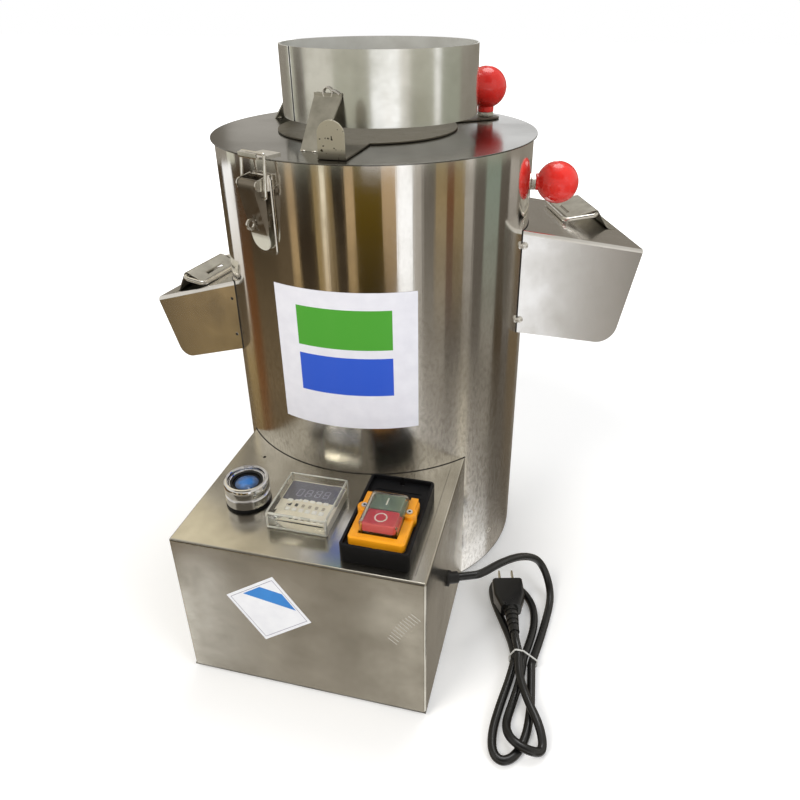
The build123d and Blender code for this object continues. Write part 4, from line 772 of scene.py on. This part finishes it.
# Outlet hoods as the solids have them, millimetres and degrees
rightHood = {"azimuth": 21.0, "offset": 0.0, "half": 71.0, "reach": 235.3, "corner": 325.0, "fall": 11.4,
             "depth": 96.4}
leftHood = {"azimuth": 173.0, "offset": 55.2, "half": 42.2, "reach": 191.2, "corner": 273.1, "fall": 17.6,
            "depth": 64.5}
rivetSpec = {"radius": 3.6, "height": 1.9, "inset": 13.0, "gap": 2.3}
holeSpec = {"radius": 1.45, "height": 0.25, "inset": 15.0, "gap": 5.5}


def hoodPlace(hood):
    return (Matrix.Rotation(math.radians(hood["azimuth"]), 4, "Z")
            @ Matrix.Translation((hood["reach"], hood["offset"], hood["corner"]))
            @ Matrix.Rotation(math.radians(hood["fall"]), 4, "Y"))


# Where a line across the hood, sideways from its middle and down from its roof, meets the drum's wall
def onWall(hood, sideways, drop, gap=0.0):
    fall = math.radians(hood["fall"])
    reach = math.sqrt(drumWall["radius"] ** 2 - (hood["offset"] + sideways) ** 2) - hood["reach"]
    return hoodPlace(hood) @ Vector((reach / math.cos(fall) + drop * math.tan(fall) + gap, sideways, -drop))


def seamSpots(hood, spec):  # near the top and the foot of both cheeks
    turned = hoodPlace(hood).to_3x3()
    return [(onWall(hood, side * hood["half"], drop, spec["gap"]), turned @ Vector((0, side, 0)))
            for side in (-1, 1) for drop in (spec["inset"], hood["depth"] - spec["inset"])]


# Rivets on the right hood's seams, and nail holes in the left hood's cheeks, which show dark: flat dark
# domes of painted shade where the holes are
layHeads("seamRivets", seamSpots(rightHood, rivetSpec), rivetSpec, weldMetal, ("hood_rivets",))
layHeads("nailHoleShade", seamSpots(leftHood, holeSpec), holeSpec, creviceShadeAndGrime)

# Painted shade in the joints: the hoods and the box are tacked to the drum and never filled, and the ring's
# lap is open, so dark beads stand for the shade in their gaps
boxSpec = {"half": 105.0, "top": 150.0, "front": -253.0}
seamSpec = {"hood": 0.75, "box": 0.6, "steps": 24}


def makeSeams():
    steps = seamSpec["steps"]
    runs = []
    for hood in (rightHood, leftHood):
        half, depth = hood["half"], hood["depth"]
        for side in (-half, half):
            runs.append([onWall(hood, side, depth * i / steps) for i in range(steps + 1)])
        runs.append([onWall(hood, half * (2 * i / steps - 1), 0.0) for i in range(steps + 1)])
    makeBead("hoodSeams", runs, seamSpec["hood"], creviceShadeAndGrime)
    radius, top = drumWall["radius"], boxSpec["top"]
    reach = math.degrees(math.asin(boxSpec["half"] / radius))
    arc = [polar(radius, -90 + reach * (i / steps - 1), top) for i in range(2 * steps + 1)]
    makeBead("boxSeam", [arc], seamSpec["box"], creviceShadeAndGrime)
    # A dark bead at the lap's edge: painted shadow of the overlapping end
    edge = ringLap["edge"] + math.degrees(ringLap["lapShadow"] / feedRing["radius"])
    lap = [onRing(edge, feedRing["radius"], feedRing[level]) for level in ("low", "high")]
    makeBead("lapSeam", [lap], ringLap["lapShadow"], creviceShadeAndGrime)


makeSeams()

# Weld at the top of each of the ring's legs: a raised ring with a tail, and two tacks at the foot
legSpec = {"azimuths": (-102.0, 164.0, 78.0), "radius": 86.4, "top": 464.1, "foot": 116.0,
           "footHeight": 425.4}
weldSpec = {"ring": 4.2, "bead": 0.85, "steps": 28, "tail": 6.5, "tailRise": 2.0,
            "tailFall": 2.8, "tailSteps": 4}
tackSpec = {"radius": 2.4, "height": 0.9, "spread": 0.3, "seed": 11, "sideways": (-6.0, 4.0)}
drumWeld = {"azimuth": -24.7, "height": 36.0, "ring": 2.4, "bead": 0.55}  # spot near the drum's foot


def weldLoop(middle, cross, radius):  # a ring on an upright face, whose sideways direction is cross
    turns = [2 * math.pi * i / weldSpec["steps"] for i in range(weldSpec["steps"] + 1)]
    return [middle + cross * radius * math.cos(t) + Vector((0, 0, radius * math.sin(t))) for t in turns]


def makeWelds():
    spec = weldSpec
    runs, tacks = [], []
    for azimuth in legSpec["azimuths"]:
        cross = polar(1, azimuth + 90)
        top = onRing(azimuth, legSpec["radius"], legSpec["top"])
        foot = onRing(azimuth, legSpec["foot"], legSpec["footHeight"])
        tail = []
        for i in range(spec["tailSteps"] + 1):
            part = i / spec["tailSteps"]
            rise = spec["tailRise"] - spec["tailFall"] * part ** 2
            tail.append(top + cross * (spec["ring"] + spec["tail"] * part) + Vector((0, 0, rise)))
        runs += [weldLoop(top, cross, spec["ring"]), tail]
        tacks += [(foot + cross * sideways, (0, 0, 1)) for sideways in tackSpec["sideways"]]
    makeBead("legWelds", runs, spec["bead"], weldMetal)
    spot = polar(drumWall["radius"], drumWeld["azimuth"], drumWeld["height"])
    loop = weldLoop(spot, polar(1, drumWeld["azimuth"] + 90), drumWeld["ring"])
    makeBead("drumWeld", [loop], drumWeld["bead"], weldMetal)
    layHeads("footTacks", tacks, tackSpec, zincPlate)


makeWelds()
print("hoods, handles and latches made")

# Control box, with a line of painted shade under the front fold, a short run of bright grinder marks, and a
# line scribed along the top
dressNode("control_box", satinSteel)
boxMarks = {
    "half": 104.0, "fold": 149.1, "foldLine": 0.22,
    "first": (78.0, 83.7), "last": (97.2, 114.3), "count": 11, "stroke": (3.6, -2.9), "bow": 1.5,
    "scratch": 0.24, "scribe": (95.3, -112.0, -246.0), "scribeLine": 0.14,
}


def makeBoxMarks():
    spec, front, top = boxMarks, boxSpec["front"], boxSpec["top"]
    fold = [(side * spec["half"], front, spec["fold"]) for side in (-1, 1)]
    makeBead("foldLine", [fold], spec["foldLine"], creviceShadeAndGrime)
    dx, dz = spec["stroke"]
    strokes = []
    for i in range(spec["count"]):
        part = i / (spec["count"] - 1)
        bow = spec["bow"] * math.sin(math.pi * part)
        x, z = [a + (b - a) * part for a, b in zip(spec["first"], spec["last"])]
        strokes.append([(x + side * dx - bow, front, z + side * dz + bow) for side in (-1, 1)])
    makeBead("grinderMarks", strokes, spec["scratch"], freshScratch)
    x, rear, near = spec["scribe"]
    makeBead("scribedLine", [[(x, rear, top), (x, near, top)]], spec["scribeLine"], creviceShadeAndGrime)


makeBoxMarks()

# Push button: turned chrome bezel, a black gasket and a domed lens, in millimetres. The bezel's outlines
# are insets from its outside, with heights, drops from its top or rises from the step inside
pushButton = {
    "place": (-63.7, -193.7), "bezel": 18.7, "bore": 11.7, "collar": 2.5, "high": 22.7, "step": 3.5,
    "groove": [(0, 10.1), (0.3, 10.5), (1.1, 11.0), (1.2, 11.5), (1.0, 12.0), (0.2, 12.6), (0, 13.0)],
    "lip": [(0, 1.6), (0.4, 0.7), (1.1, 0.1), (1.6, 0), (2.6, 0), (3.0, 0.3), (3.5, 1.8)],
    "bead": [(3.9, 0), (4.1, 0.6), (4.5, 0.9), (4.9, 0.6), (5.1, 0)],
    "gasketInset": 5.2, "lens": 11.4, "window": 9.9, "lensFoot": 13.7, "lensTop": 4.0,
}


# Lens: polished acrylic, with painted light, blue in its middle where the lamp stands, and painted shade,
# nearly black, towards its rim
def litAcrylic(name, middle, rim):
    polished = {"Roughness": 0.08, "Coat Weight": 1.0, "Coat Roughness": 0.03}
    material, tree, place = newMaterial(name, polished)
    out = fromAxis(tree, place, *pushButton["place"])
    cloud = addNode(tree, "ShaderNodeMapRange", [grainOf(tree, place, 5), 0.3, 0.7, -0.0015, 0.0015])
    spread = addNode(tree, "ShaderNodeMath", [out, cloud], operation="ADD")
    addNode(tree, "ShaderNodeValToRGB", [spread], "Base Color", [(0.004, middle), (0.0098, rim)])
    return material


blueAcrylic = litAcrylic("blueAcrylic", "#2f78c4", "#0a1a30")


def makePushButton():
    spec = pushButton
    place = at(*spec["place"], boxSpec["top"])
    r, bore, collar, top = spec["bezel"], spec["bore"], spec["collar"], spec["high"]
    step = top - spec["step"]
    bezel = [(bore, collar), (r - 0.5, collar), (r, collar + 0.5)]
    bezel += [(r - inset, height) for inset, height in spec["groove"]]
    bezel += [(r - inset, top - drop) for inset, drop in spec["lip"]]
    bezel += [(r - inset, step + rise) for inset, rise in spec["bead"]]
    bezel += [(bore, step), (bore, collar)]
    wide = r - spec["gasketInset"]
    gasket = [(bore, step), (wide, step), (wide, step + 0.3), (wide - 0.3, step + 0.5),
              (bore + 0.3, step + 0.5), (bore, step + 0.3), (bore, step)]
    q, window = spec["lens"], spec["window"]
    low, high = top - spec["lensFoot"], top - spec["lensTop"]
    lens = [(0, low), (window, low), (window, high - 1.0), (window - 1.0, high - 0.5),
            (window * 0.6, high - 0.1), (0, high)]
    rim = [(window, low), (q, low), (q, high - 0.6), (q - 0.5, high - 0.2), (window + 0.4, high - 0.3),
           (window, high - 0.8), (window, low)]
    for name, profile, steps, finish, body, replaced in (
            ("buttonBezel", bezel, 144, chromePlate, "machine", ("button_bezel",)),
            ("buttonLens", lens, 72, blueAcrylic, "lens", ("button_lens",)),
            ("lensRim", rim, 72, blackAbs, "lens", ()),
            ("buttonGasket", gasket, 72, blackRubber, "machine", ())):
        link(name, turnedMesh(name, profile, place, steps), finish, body, replaced)
    dressNode("button_body", blackAbs, 0.3)


makePushButton()

# Timer: ivory case, smoked display with plain digits, rows of bumps and windows, in millimetres
timerSpec = {"place": (-8.4, -196.0), "top": 158.0, "displayTop": 158.2, "pitch": 6.15, "keys": 6,
             "surround": [(-23.2, 0.5), (23.2, 0.5), (23.2, 24.4), (-23.2, 24.4)], "surroundSheet": 0.12}
digitSpec = {"shown": "0888", "behind": 6.2, "lift": 0.05, "high": 8.6, "wide": 4.2, "pitch": 7.6,
             "stroke": 0.75, "fill": 0.86, "lean": 0.1}
segmentRule = {"0": "abcdef", "8": "abcdefg"}
timerRows = [  # name, columns from the middle, place towards the drum, lift, size, finish, count
    ("timerBumps", -2.5, -0.6, 0.4, (4.4, 2.6, 1.4), whitePrint, 6),
    ("litWindows", -2.5, -6.9, 0.02, (2.7, 3.8, 0.3), darkRecess, 2),
    ("dimWindows", -0.5, -6.9, 0.02, (2.7, 3.8, 0.3), sandPrint, 4),
    # Painted shade: a flat dark strip where the slot in front of the bar lies
    ("timerSlot", 0, -22.9, 0.03, (44.0, 3.2, 0.2), darkRecess, 1),
    ("timerBar", 0, -19.2, 0.5, (46.0, 4.6, 1.6), ivoryAbs, 1),
]


def digitMesh(name, spec, place):
    high, wide, stroke = spec["high"], spec["wide"], spec["stroke"]
    half, mid = wide / 2, high / 2
    bars = {"a": (0, high, wide, stroke), "g": (0, mid, wide, stroke), "d": (0, 0, wide, stroke),
            "f": (-half, high * 0.75, stroke, mid), "b": (half, high * 0.75, stroke, mid),
            "e": (-half, high * 0.25, stroke, mid), "c": (half, high * 0.25, stroke, mid)}
    points = []
    for i, sign in enumerate(spec["shown"]):
        shift = (i - (len(spec["shown"]) - 1) / 2) * spec["pitch"]
        for part in segmentRule[sign]:
            x, y, w, h = bars[part]
            for a, b in ((-0.5, -0.5), (0.5, -0.5), (0.5, 0.5), (-0.5, 0.5)):
                rise = y + b * h * spec["fill"]
                points.append((shift + x + a * w * spec["fill"] + spec["lean"] * rise, rise, 0))
    faces = [range(start, start + 4) for start in range(0, len(points), 4)]
    return meshFrom(name, points, faces, place)


def makeTimer():
    x, y = timerSpec["place"]
    top, pitch = timerSpec["top"], timerSpec["pitch"]
    dressNode("timer_case", ivoryAbs, 0.35)
    dressNode("timer_face", smokedAcrylic, 0.2)
    dressAll(whitePrint, 0.0, *["timer_key_%d" % (i + 1) for i in range(timerSpec["keys"])])
    shown = at(x, y + digitSpec["behind"], timerSpec["displayTop"] + digitSpec["lift"])
    link("timerDigits", digitMesh("timerDigits", digitSpec, shown), lavenderPrint)
    sheet = timerSpec["surroundSheet"]
    surround = slabMesh("displaySurround", timerSpec["surround"], at(x, y, top), 0.0, sheet)
    link("displaySurround", surround, smokedAcrylic)
    for name, column, behind, lift, size, finish, count in timerRows:
        start = (x + column * pitch, y + behind, top + lift)
        layRow(name, start, (pitch, 0, 0), size, finish, count)


# Clear cover, and the lit edges of its moulding
coverSpec = {"width": 51.6, "depth": 54.6, "low": 150.4, "high": 166.0, "edge": 0.95}


def makeCover():
    dressNode("timer_cover", clearStyrene)
    x, y = timerSpec["place"]
    edge = coverSpec["edge"]
    half, deep = coverSpec["width"] / 2 - edge, coverSpec["depth"] / 2 - edge
    low, high = coverSpec["low"] + edge, coverSpec["high"] - edge
    corners = [(x - half, y - deep), (x + half, y - deep), (x + half, y + deep), (x - half, y + deep)]
    runs = [[(*p, high) for p in corners + corners[:1]], [(*p, low) for p in corners[:2]]]
    runs += [[(*p, low), (*p, high)] for p in corners]
    makeBead("coverEdges", runs, edge, edgeStyrene, "cover")


makeTimer()
makeCover()

# Start and stop switch: black housing with two raised lines on its floor, yellow plate, soft clear boot
# over the keys, a bar and a ring printed on them, and painted shade on the plate's screws: dark spots where
# their recesses are
switchSpec = {"place": (62.3, -199.0), "plateShift": -13.0, "keyShift": 9.45, "floor": 162.0, "print": 0.03,
              "bar": (0.6, 4.2), "ring": (5.1, 4.0), "ringSteps": 48}
recessSpec = {"radius": 1.1, "height": 0.12, "apart": 18.4, "behind": 7.0}
ridgeSpec = {"behind": 24.0, "apart": 6.0, "lift": 0.2, "size": (40.0, 0.9, 0.8), "count": 2}


def makeSwitch():
    dressNode("switch_base", blackAbs, 0.4)
    dressNode("switch_plate", yellowAbs, 0.3)
    dressNode("switch_screws", dullZinc, 0.2)
    dressNode("switch_boot", softVinyl)
    dressNode("start_button", greenAbs, 0.2)
    dressNode("stop_button", redAbs, 0.2)
    spec = switchSpec
    x, y = spec["place"]
    middle = y + spec["plateShift"]
    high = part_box("start_button")[1].z * 1000 + spec["print"]
    half, tall = spec["bar"]
    start = middle + spec["keyShift"]
    points = [(x + a * half, start + b * tall, high) for a, b in ((-1, -1), (1, -1), (1, 1), (-1, 1))]
    link("startMark", meshFrom("startMark", points, [(0, 1, 2, 3)]), whitePrint, "start")
    steps, stop = spec["ringSteps"], (x, middle - spec["keyShift"])
    points = [polar(radius, 360 * i / steps, high, stop) for i in range(steps) for radius in spec["ring"]]
    link("stopMark", meshFrom("stopMark", points, stripFaces(steps, 2)), whitePrint, "stop")
    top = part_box("switch_screws")[1].z * 1000
    behind = middle + recessSpec["behind"]
    spots = [((x + side * recessSpec["apart"], behind, top), (0, 0, 1)) for side in (-1, 1)]
    layHeads("screwRecessShade", spots, recessSpec, darkRecess)
    ridge = (x, y + ridgeSpec["behind"], spec["floor"] + ridgeSpec["lift"])
    layRow("housingRidge", ridge, (0, ridgeSpec["apart"], 0), ridgeSpec["size"], blackAbs,
           ridgeSpec["count"])


makeSwitch()
print("controls made")


# Stickers: printed paper with a soft sheen and faint creases, and patches of colour on its UV map as
# (left, right, low, high, colour)
def printedPaper(name, ground, patches=()):
    material, tree, place = newMaterial(name, {"Roughness": 0.45, "Coat Weight": 0.2})
    along = addNode(tree, "ShaderNodeUVMap", uv_map="paper")
    split = addNode(tree, "ShaderNodeSeparateXYZ", [along]).outputs
    fleck = grainOf(tree, place, 12, 3.0)
    colour = addNode(tree, "ShaderNodeValToRGB", [fleck], stops=[(0.3, ground[0]), (0.7, ground[1])])
    for left, right, low, high, code in patches:
        inside = 1.0
        for axis, edge, rule in (("X", left, "GREATER_THAN"), ("X", right, "LESS_THAN"),
                                 ("Y", low, "GREATER_THAN"), ("Y", high, "LESS_THAN")):
            test = addNode(tree, "ShaderNodeMath", [split[axis], edge], operation=rule)
            inside = addNode(tree, "ShaderNodeMath", [inside, test], operation="MULTIPLY")
        colour = addNode(tree, "ShaderNodeMix", [inside, colour, hexColour(code)], data_type="RGBA")
    tree.links.new(firstOut(colour), tree.nodes["Principled BSDF"].inputs["Base Color"])
    crease = grainOf(tree, place, (30, 30, 60), 3.0)
    addNode(tree, "ShaderNodeBump", {"Height": crease, "Strength": 0.25, "Distance": 0.4 / 1000}, "Normal")
    return material


def unrollPaper(mesh, places):  # UV places of the mesh's points, repeated if there are fewer
    paper = mesh.uv_layers.new(name="paper")
    for loop in mesh.loops:
        paper.data[loop.index].uv = places[loop.vertex_index % len(places)]


drumLabel = {"from": -111.0, "to": -61.0, "low": 199.0, "high": 325.5, "radius": 140.12, "paper": 0.1,
             "steps": 50, "rows": 12}
labelPaper = printedPaper("labelPaper", ("#eeeef5", "#e6e6ee"), [
    (0.17, 0.83, 0.60, 0.88, "#4aa52d"), (0.17, 0.83, 0.26, 0.54, "#2557cf")])


def makeLabel():
    spec = drumLabel
    steps, rows = spec["steps"], spec["rows"]
    places = [(i / steps, j / rows) for i in range(steps + 1) for j in range(rows + 1)]
    span, tall = spec["to"] - spec["from"], spec["high"] - spec["low"]
    points = [polar(spec["radius"], spec["from"] + span * u, spec["low"] + tall * v) for u, v in places]
    mesh = meshFrom("drumLabel", points, stripFaces(steps + 1, rows + 1, False))
    unrollPaper(mesh, places)
    thicken(link("drumLabel", mesh, labelPaper), spec["paper"], 1)


makeLabel()

# Diamond sticker on the box's front: bare paper with a band and a thin border. Corners are X and Z, from
# the left one round
boxDiamond = {"corners": [(-61.5, 99.6), (-31.9, 55.5), (10.9, 86.5), (-18.4, 129.2)], "lift": 0.04,
              "paper": 0.12, "ink": 0.01, "border": (0.885, 0.905), "band": (0.61, 0.79), "bandReach": 0.42}
diamondPaper = printedPaper("diamondPaper", ("#f4f5f8", "#ebecf1"))


def makeDiamond():
    spec = boxDiamond
    front = at(0, boxSpec["front"], 0) @ Matrix.Rotation(math.pi / 2, 4, "X")
    top = spec["lift"] + spec["paper"]
    mesh = slabMesh("boxDiamond", spec["corners"], front, spec["lift"], top)
    unrollPaper(mesh, [(0, 0.5), (0.5, 0), (1, 0.5), (0.5, 1)])
    link("boxDiamond", mesh, diamondPaper)
    corners = [Vector(c) for c in spec["corners"]]
    middle = sum(corners, Vector((0, 0))) / 4
    points = [(*(middle + (c - middle) * part), top + 2 * spec["ink"])
              for part in spec["border"] for c in corners]
    faces = [(i, i + 4, (i + 1) % 4 + 4, (i + 1) % 4) for i in range(4)]
    link("diamondBorder", meshFrom("diamondBorder", points, faces, front), lavenderPrint)
    left, low, right, high = corners
    points = []
    for level, side in zip(spec["band"] + spec["band"][::-1], (-1, -1, 1, 1)):
        reach = side * (spec["bandReach"] - abs(level - 0.5))
        spot = middle + (right - left) * reach + (high - low) * (level - 0.5)
        points.append((*spot, top + spec["ink"]))
    link("diamondBand", meshFrom("diamondBand", points, [(3, 2, 1, 0)], front), bluePrint)


makeDiamond()
print("stickers laid")

# Pieces that keep their solid and take a finish
keptNodes = {
    "base_plate": plainPlate, "rubber_feet": blackRubber, "chamber_deck": plainPlate,
    "wall_liner": linerRubber, "motor_housing": motorPaint, "motor_bolts": zincPlate,
    "motor_shaft": plainPlate, "shaft_seal": blackRubber, "peeling_disc": castMetal, "disc_nut": zincPlate,
    "discharge_door": plainPlate, "door_guides": plainPlate,
}
for name, finish in keptNodes.items():
    mesh = frame["nodes"][name].data
    mesh.materials.clear()
    mesh.materials.append(finish)
print("inner pieces finished")


def seenRays(tree):  # 1 for what the camera sees straight, in metal or through glass
    path = addNode(tree, "ShaderNodeLightPath").outputs
    straight, mirrored, through = [path["Is %s Ray" % way] for way in ("Camera", "Glossy", "Transmission")]
    seen = addNode(tree, "ShaderNodeMath", [straight, mirrored], operation="MAXIMUM")
    return addNode(tree, "ShaderNodeMath", [seen, through], operation="MAXIMUM")


# Stage: pale floor that goes over into white, from near to far in millimetres
floorSpec = {"half": 8000.0, "drop": 0.2, "near": 350.0, "far": 1300.0, "nearLift": 0.2, "farLift": 1.0}


def makeFloor():
    spec = floorSpec
    material, tree, place = newMaterial("paleFloor", {
        "Base Color": hexColour("#f4f4f3"), "Roughness": 0.9, "Specular IOR Level": 0.0,
        "Emission Color": (1, 1, 1, 1)})
    out = addNode(tree, "ShaderNodeVectorMath", [place], operation="LENGTH")
    near, far = spec["near"] / 1000, spec["far"] / 1000
    lift = addNode(tree, "ShaderNodeMapRange", [out, near, far, spec["nearLift"], spec["farLift"]])
    addNode(tree, "ShaderNodeMath", [seenRays(tree), lift], "Emission Strength", operation="MULTIPLY")
    half, low = spec["half"], -spec["drop"]
    corners = [(-half, -half, low), (half, -half, low), (half, half, low), (-half, half, low)]
    mesh = meshFrom("paleFloor", corners, [(0, 1, 2, 3)])
    mesh.materials.append(material)
    floor = addObject("paleFloor", mesh)
    floor.visible_glossy = False


# Rings of cards round the stage, like the walls and boards of a workshop, which only reflections see
roomTones = {
    "ink": "#1f1810", "umber": "#43382a", "bark": "#655640", "olive": "#5d4911", "rust": "#6b4425",
    "tan": "#8d7851", "sand": "#b39873", "cream": "#efe5cc", "white": "#ffffff", "pearl": "#cfcbc3",
    "ash": "#a39d94", "stone": "#7d776d", "slate": "#5a544c", "sage": "#7a8578", "moss": "#a9a799",
    "fern": "#8b8c7e",
}
# Each card goes from the last one's end to its own in degrees, starting behind the left side, and has its
# tones from the ring's top edge down
boxCards = [
    (-131, "pearl ash"), (-126, "white ash"), (-122, "stone stone"), (-114, "ash ash"),
    (-109, "stone stone"), (-100, "pearl ash"), (-70, "ash stone"), (30, "white pearl"), (70, "ash stone"),
    (80, "stone slate"), (96, "ash stone"), (180, "ash stone"),
]
drumCards = [
    (-168, "ink bark bark"), (-152, "ink bark bark"),
    (-138, "umber bark bark"), (-132, "sand tan bark"), (-118, "ink umber bark"),
    (-113, "tan tan bark"), (-109, "cream sand bark"), (-105, "tan bark bark"), (-96, "ink umber bark"),
    (-89, "sand tan bark"), (-70, "olive ink bark"), (-60, "sand bark ash"), (-49, "white white pearl"),
    (-43, "ash ash pearl"), (-33, "slate stone ash"), (-24, "tan stone ash"), (-18, "rust slate stone"),
    (-10, "tan slate ash"), (-2, "ash stone cream"), (9, "slate slate ash"), (25, "sage stone stone"),
    (36, "slate umber slate"), (49, "ash slate slate"), (75, "stone bark slate"), (128, "stone stone stone"),
    (146, "umber bark bark"), (166, "white tan bark"), (180, "umber rust bark"),
]
ringCards = [
    (-169, "slate slate"), (-127, "pearl moss"), (-84, "moss fern"), (-52, "white white"),
    (-40, "pearl pearl"), (-10, "moss fern"), (-2, "white pearl"), (30, "fern fern"), (160, "stone stone"),
    (173, "moss moss"), (180, "slate slate"),
]
lidCards = [
    (60, "pearl pearl"), (92, "stone stone"), (99, "white white"), (113, "stone stone"), (119, "ash pearl"),
    (135, "stone stone"), (180, "pearl pearl"),
]
skyCards = [
    (-135, "pearl pearl"), (-45, "stone slate"), (60, "pearl pearl"), (106, "ash ash"), (114, "pearl pearl"),
    (150, "cream cream"), (180, "pearl pearl"),
]
cardRings = [  # elevation of the low and high edge in degrees, brightness, cards
    (-70, -41.5, 1.2, boxCards),
    (-41.5, -10.8, 1.1, drumCards),
    (-10.8, 0, 1.35, ringCards),
    (0, 30, 1.2, lidCards),
    (30, 72, 1.0, skyCards),
]
cardSpec = {"radius": 20000.0, "rows": 12, "step": 6}


def makeCards():
    material = bpy.data.materials.new("reflectionCards")
    material.use_nodes = True
    material.cycles.emission_sampling = "NONE"
    tree = material.node_tree
    tree.nodes.clear()
    tint = addNode(tree, "ShaderNodeVertexColor", layer_name="cardTint")
    glow = addNode(tree, "ShaderNodeEmission", {"Color": tint, "Strength": 1.0})
    addNode(tree, "ShaderNodeOutputMaterial", {"Surface": glow})
    points, faces, tints = [], [], []
    rows, radius = cardSpec["rows"], cardSpec["radius"]
    for low, high, bright, cards in cardRings:
        first = -180
        for second, names in cards:
            tones = [Vector(hexColour(roomTones[name])[:3]) * bright for name in names.split()]
            steps = max(1, round((second - first) / cardSpec["step"]))
            base = len(points)
            faces += [[base + corner for corner in face] for face in stripFaces(steps + 1, rows + 1, False)]
            for i in range(steps + 1):
                turn = first + (second - first) * i / steps
                for j in range(rows + 1):
                    rise = math.radians(low + (high - low) * j / rows)
                    points.append(polar(radius, turn, radius * math.tan(rise)))
                    depth = (1 - j / rows) * (len(tones) - 1)
                    here = min(int(depth), len(tones) - 2)
                    tints.append(tones[here].lerp(tones[here + 1], depth - here))
            first = second
    mesh = meshFrom("reflectionCards", points, faces)
    layer = mesh.color_attributes.new("cardTint", "FLOAT_COLOR", "POINT")
    for entry, tone in zip(layer.data, tints):
        entry.color = (*tone, 1.0)
    mesh.materials.append(material)
    cards = addObject("reflectionCards", mesh)
    cards.visible_camera = False
    cards.visible_diffuse = False
    cards.visible_shadow = False
    cards.visible_transmission = False


worldSpec = {"lit": 0.5, "seen": 1.0}  # strength for the object's light, and for what the camera sees


def makeWorld():
    scene.world = bpy.data.worlds.new("studio")
    scene.world.use_nodes = True
    tree = scene.world.node_tree
    ground = tree.nodes["Background"]
    ground.inputs["Color"].default_value = (1, 1, 1, 1)
    strengths = [seenRays(tree), 0.0, 1.0, worldSpec["lit"], worldSpec["seen"]]
    level = addNode(tree, "ShaderNodeMapRange", strengths)
    tree.links.new(firstOut(level), ground.inputs["Strength"])


lampSpecs = {  # place, target and width in metres, watts, colour, whether metal mirrors it
    "keyLamp": ((-0.9, -1.5, 1.9), (0, 0, 0.25), 1.1, 26, "#fffaf2", False),
    "fillLamp": ((1.7, -1.0, 1.3), (0, 0, 0.25), 1.0, 12, "#f6f8ff", False),
    "topLamp": ((0.1, 0.7, 2.1), (0, 0, 0.4), 1.2, 14, "#ffffff", True),
}


def makeLamp(name, place, target, size, power, colour, mirrored):
    data = bpy.data.lights.new(name, "AREA")
    data.shape = "DISK"
    data.size = size
    data.energy = power
    data.color = hexColour(colour)[:3]
    lamp = addObject(name, data)
    lamp.visible_glossy = mirrored
    way = Vector(target) - Vector(place)
    lamp.matrix_world = Matrix.Translation(place) @ way.to_track_quat("-Z", "Y").to_matrix().to_4x4()


makeFloor()
makeCards()
makeWorld()
for name, spec in lampSpecs.items():
    makeLamp(name, *spec)
print("stage set")
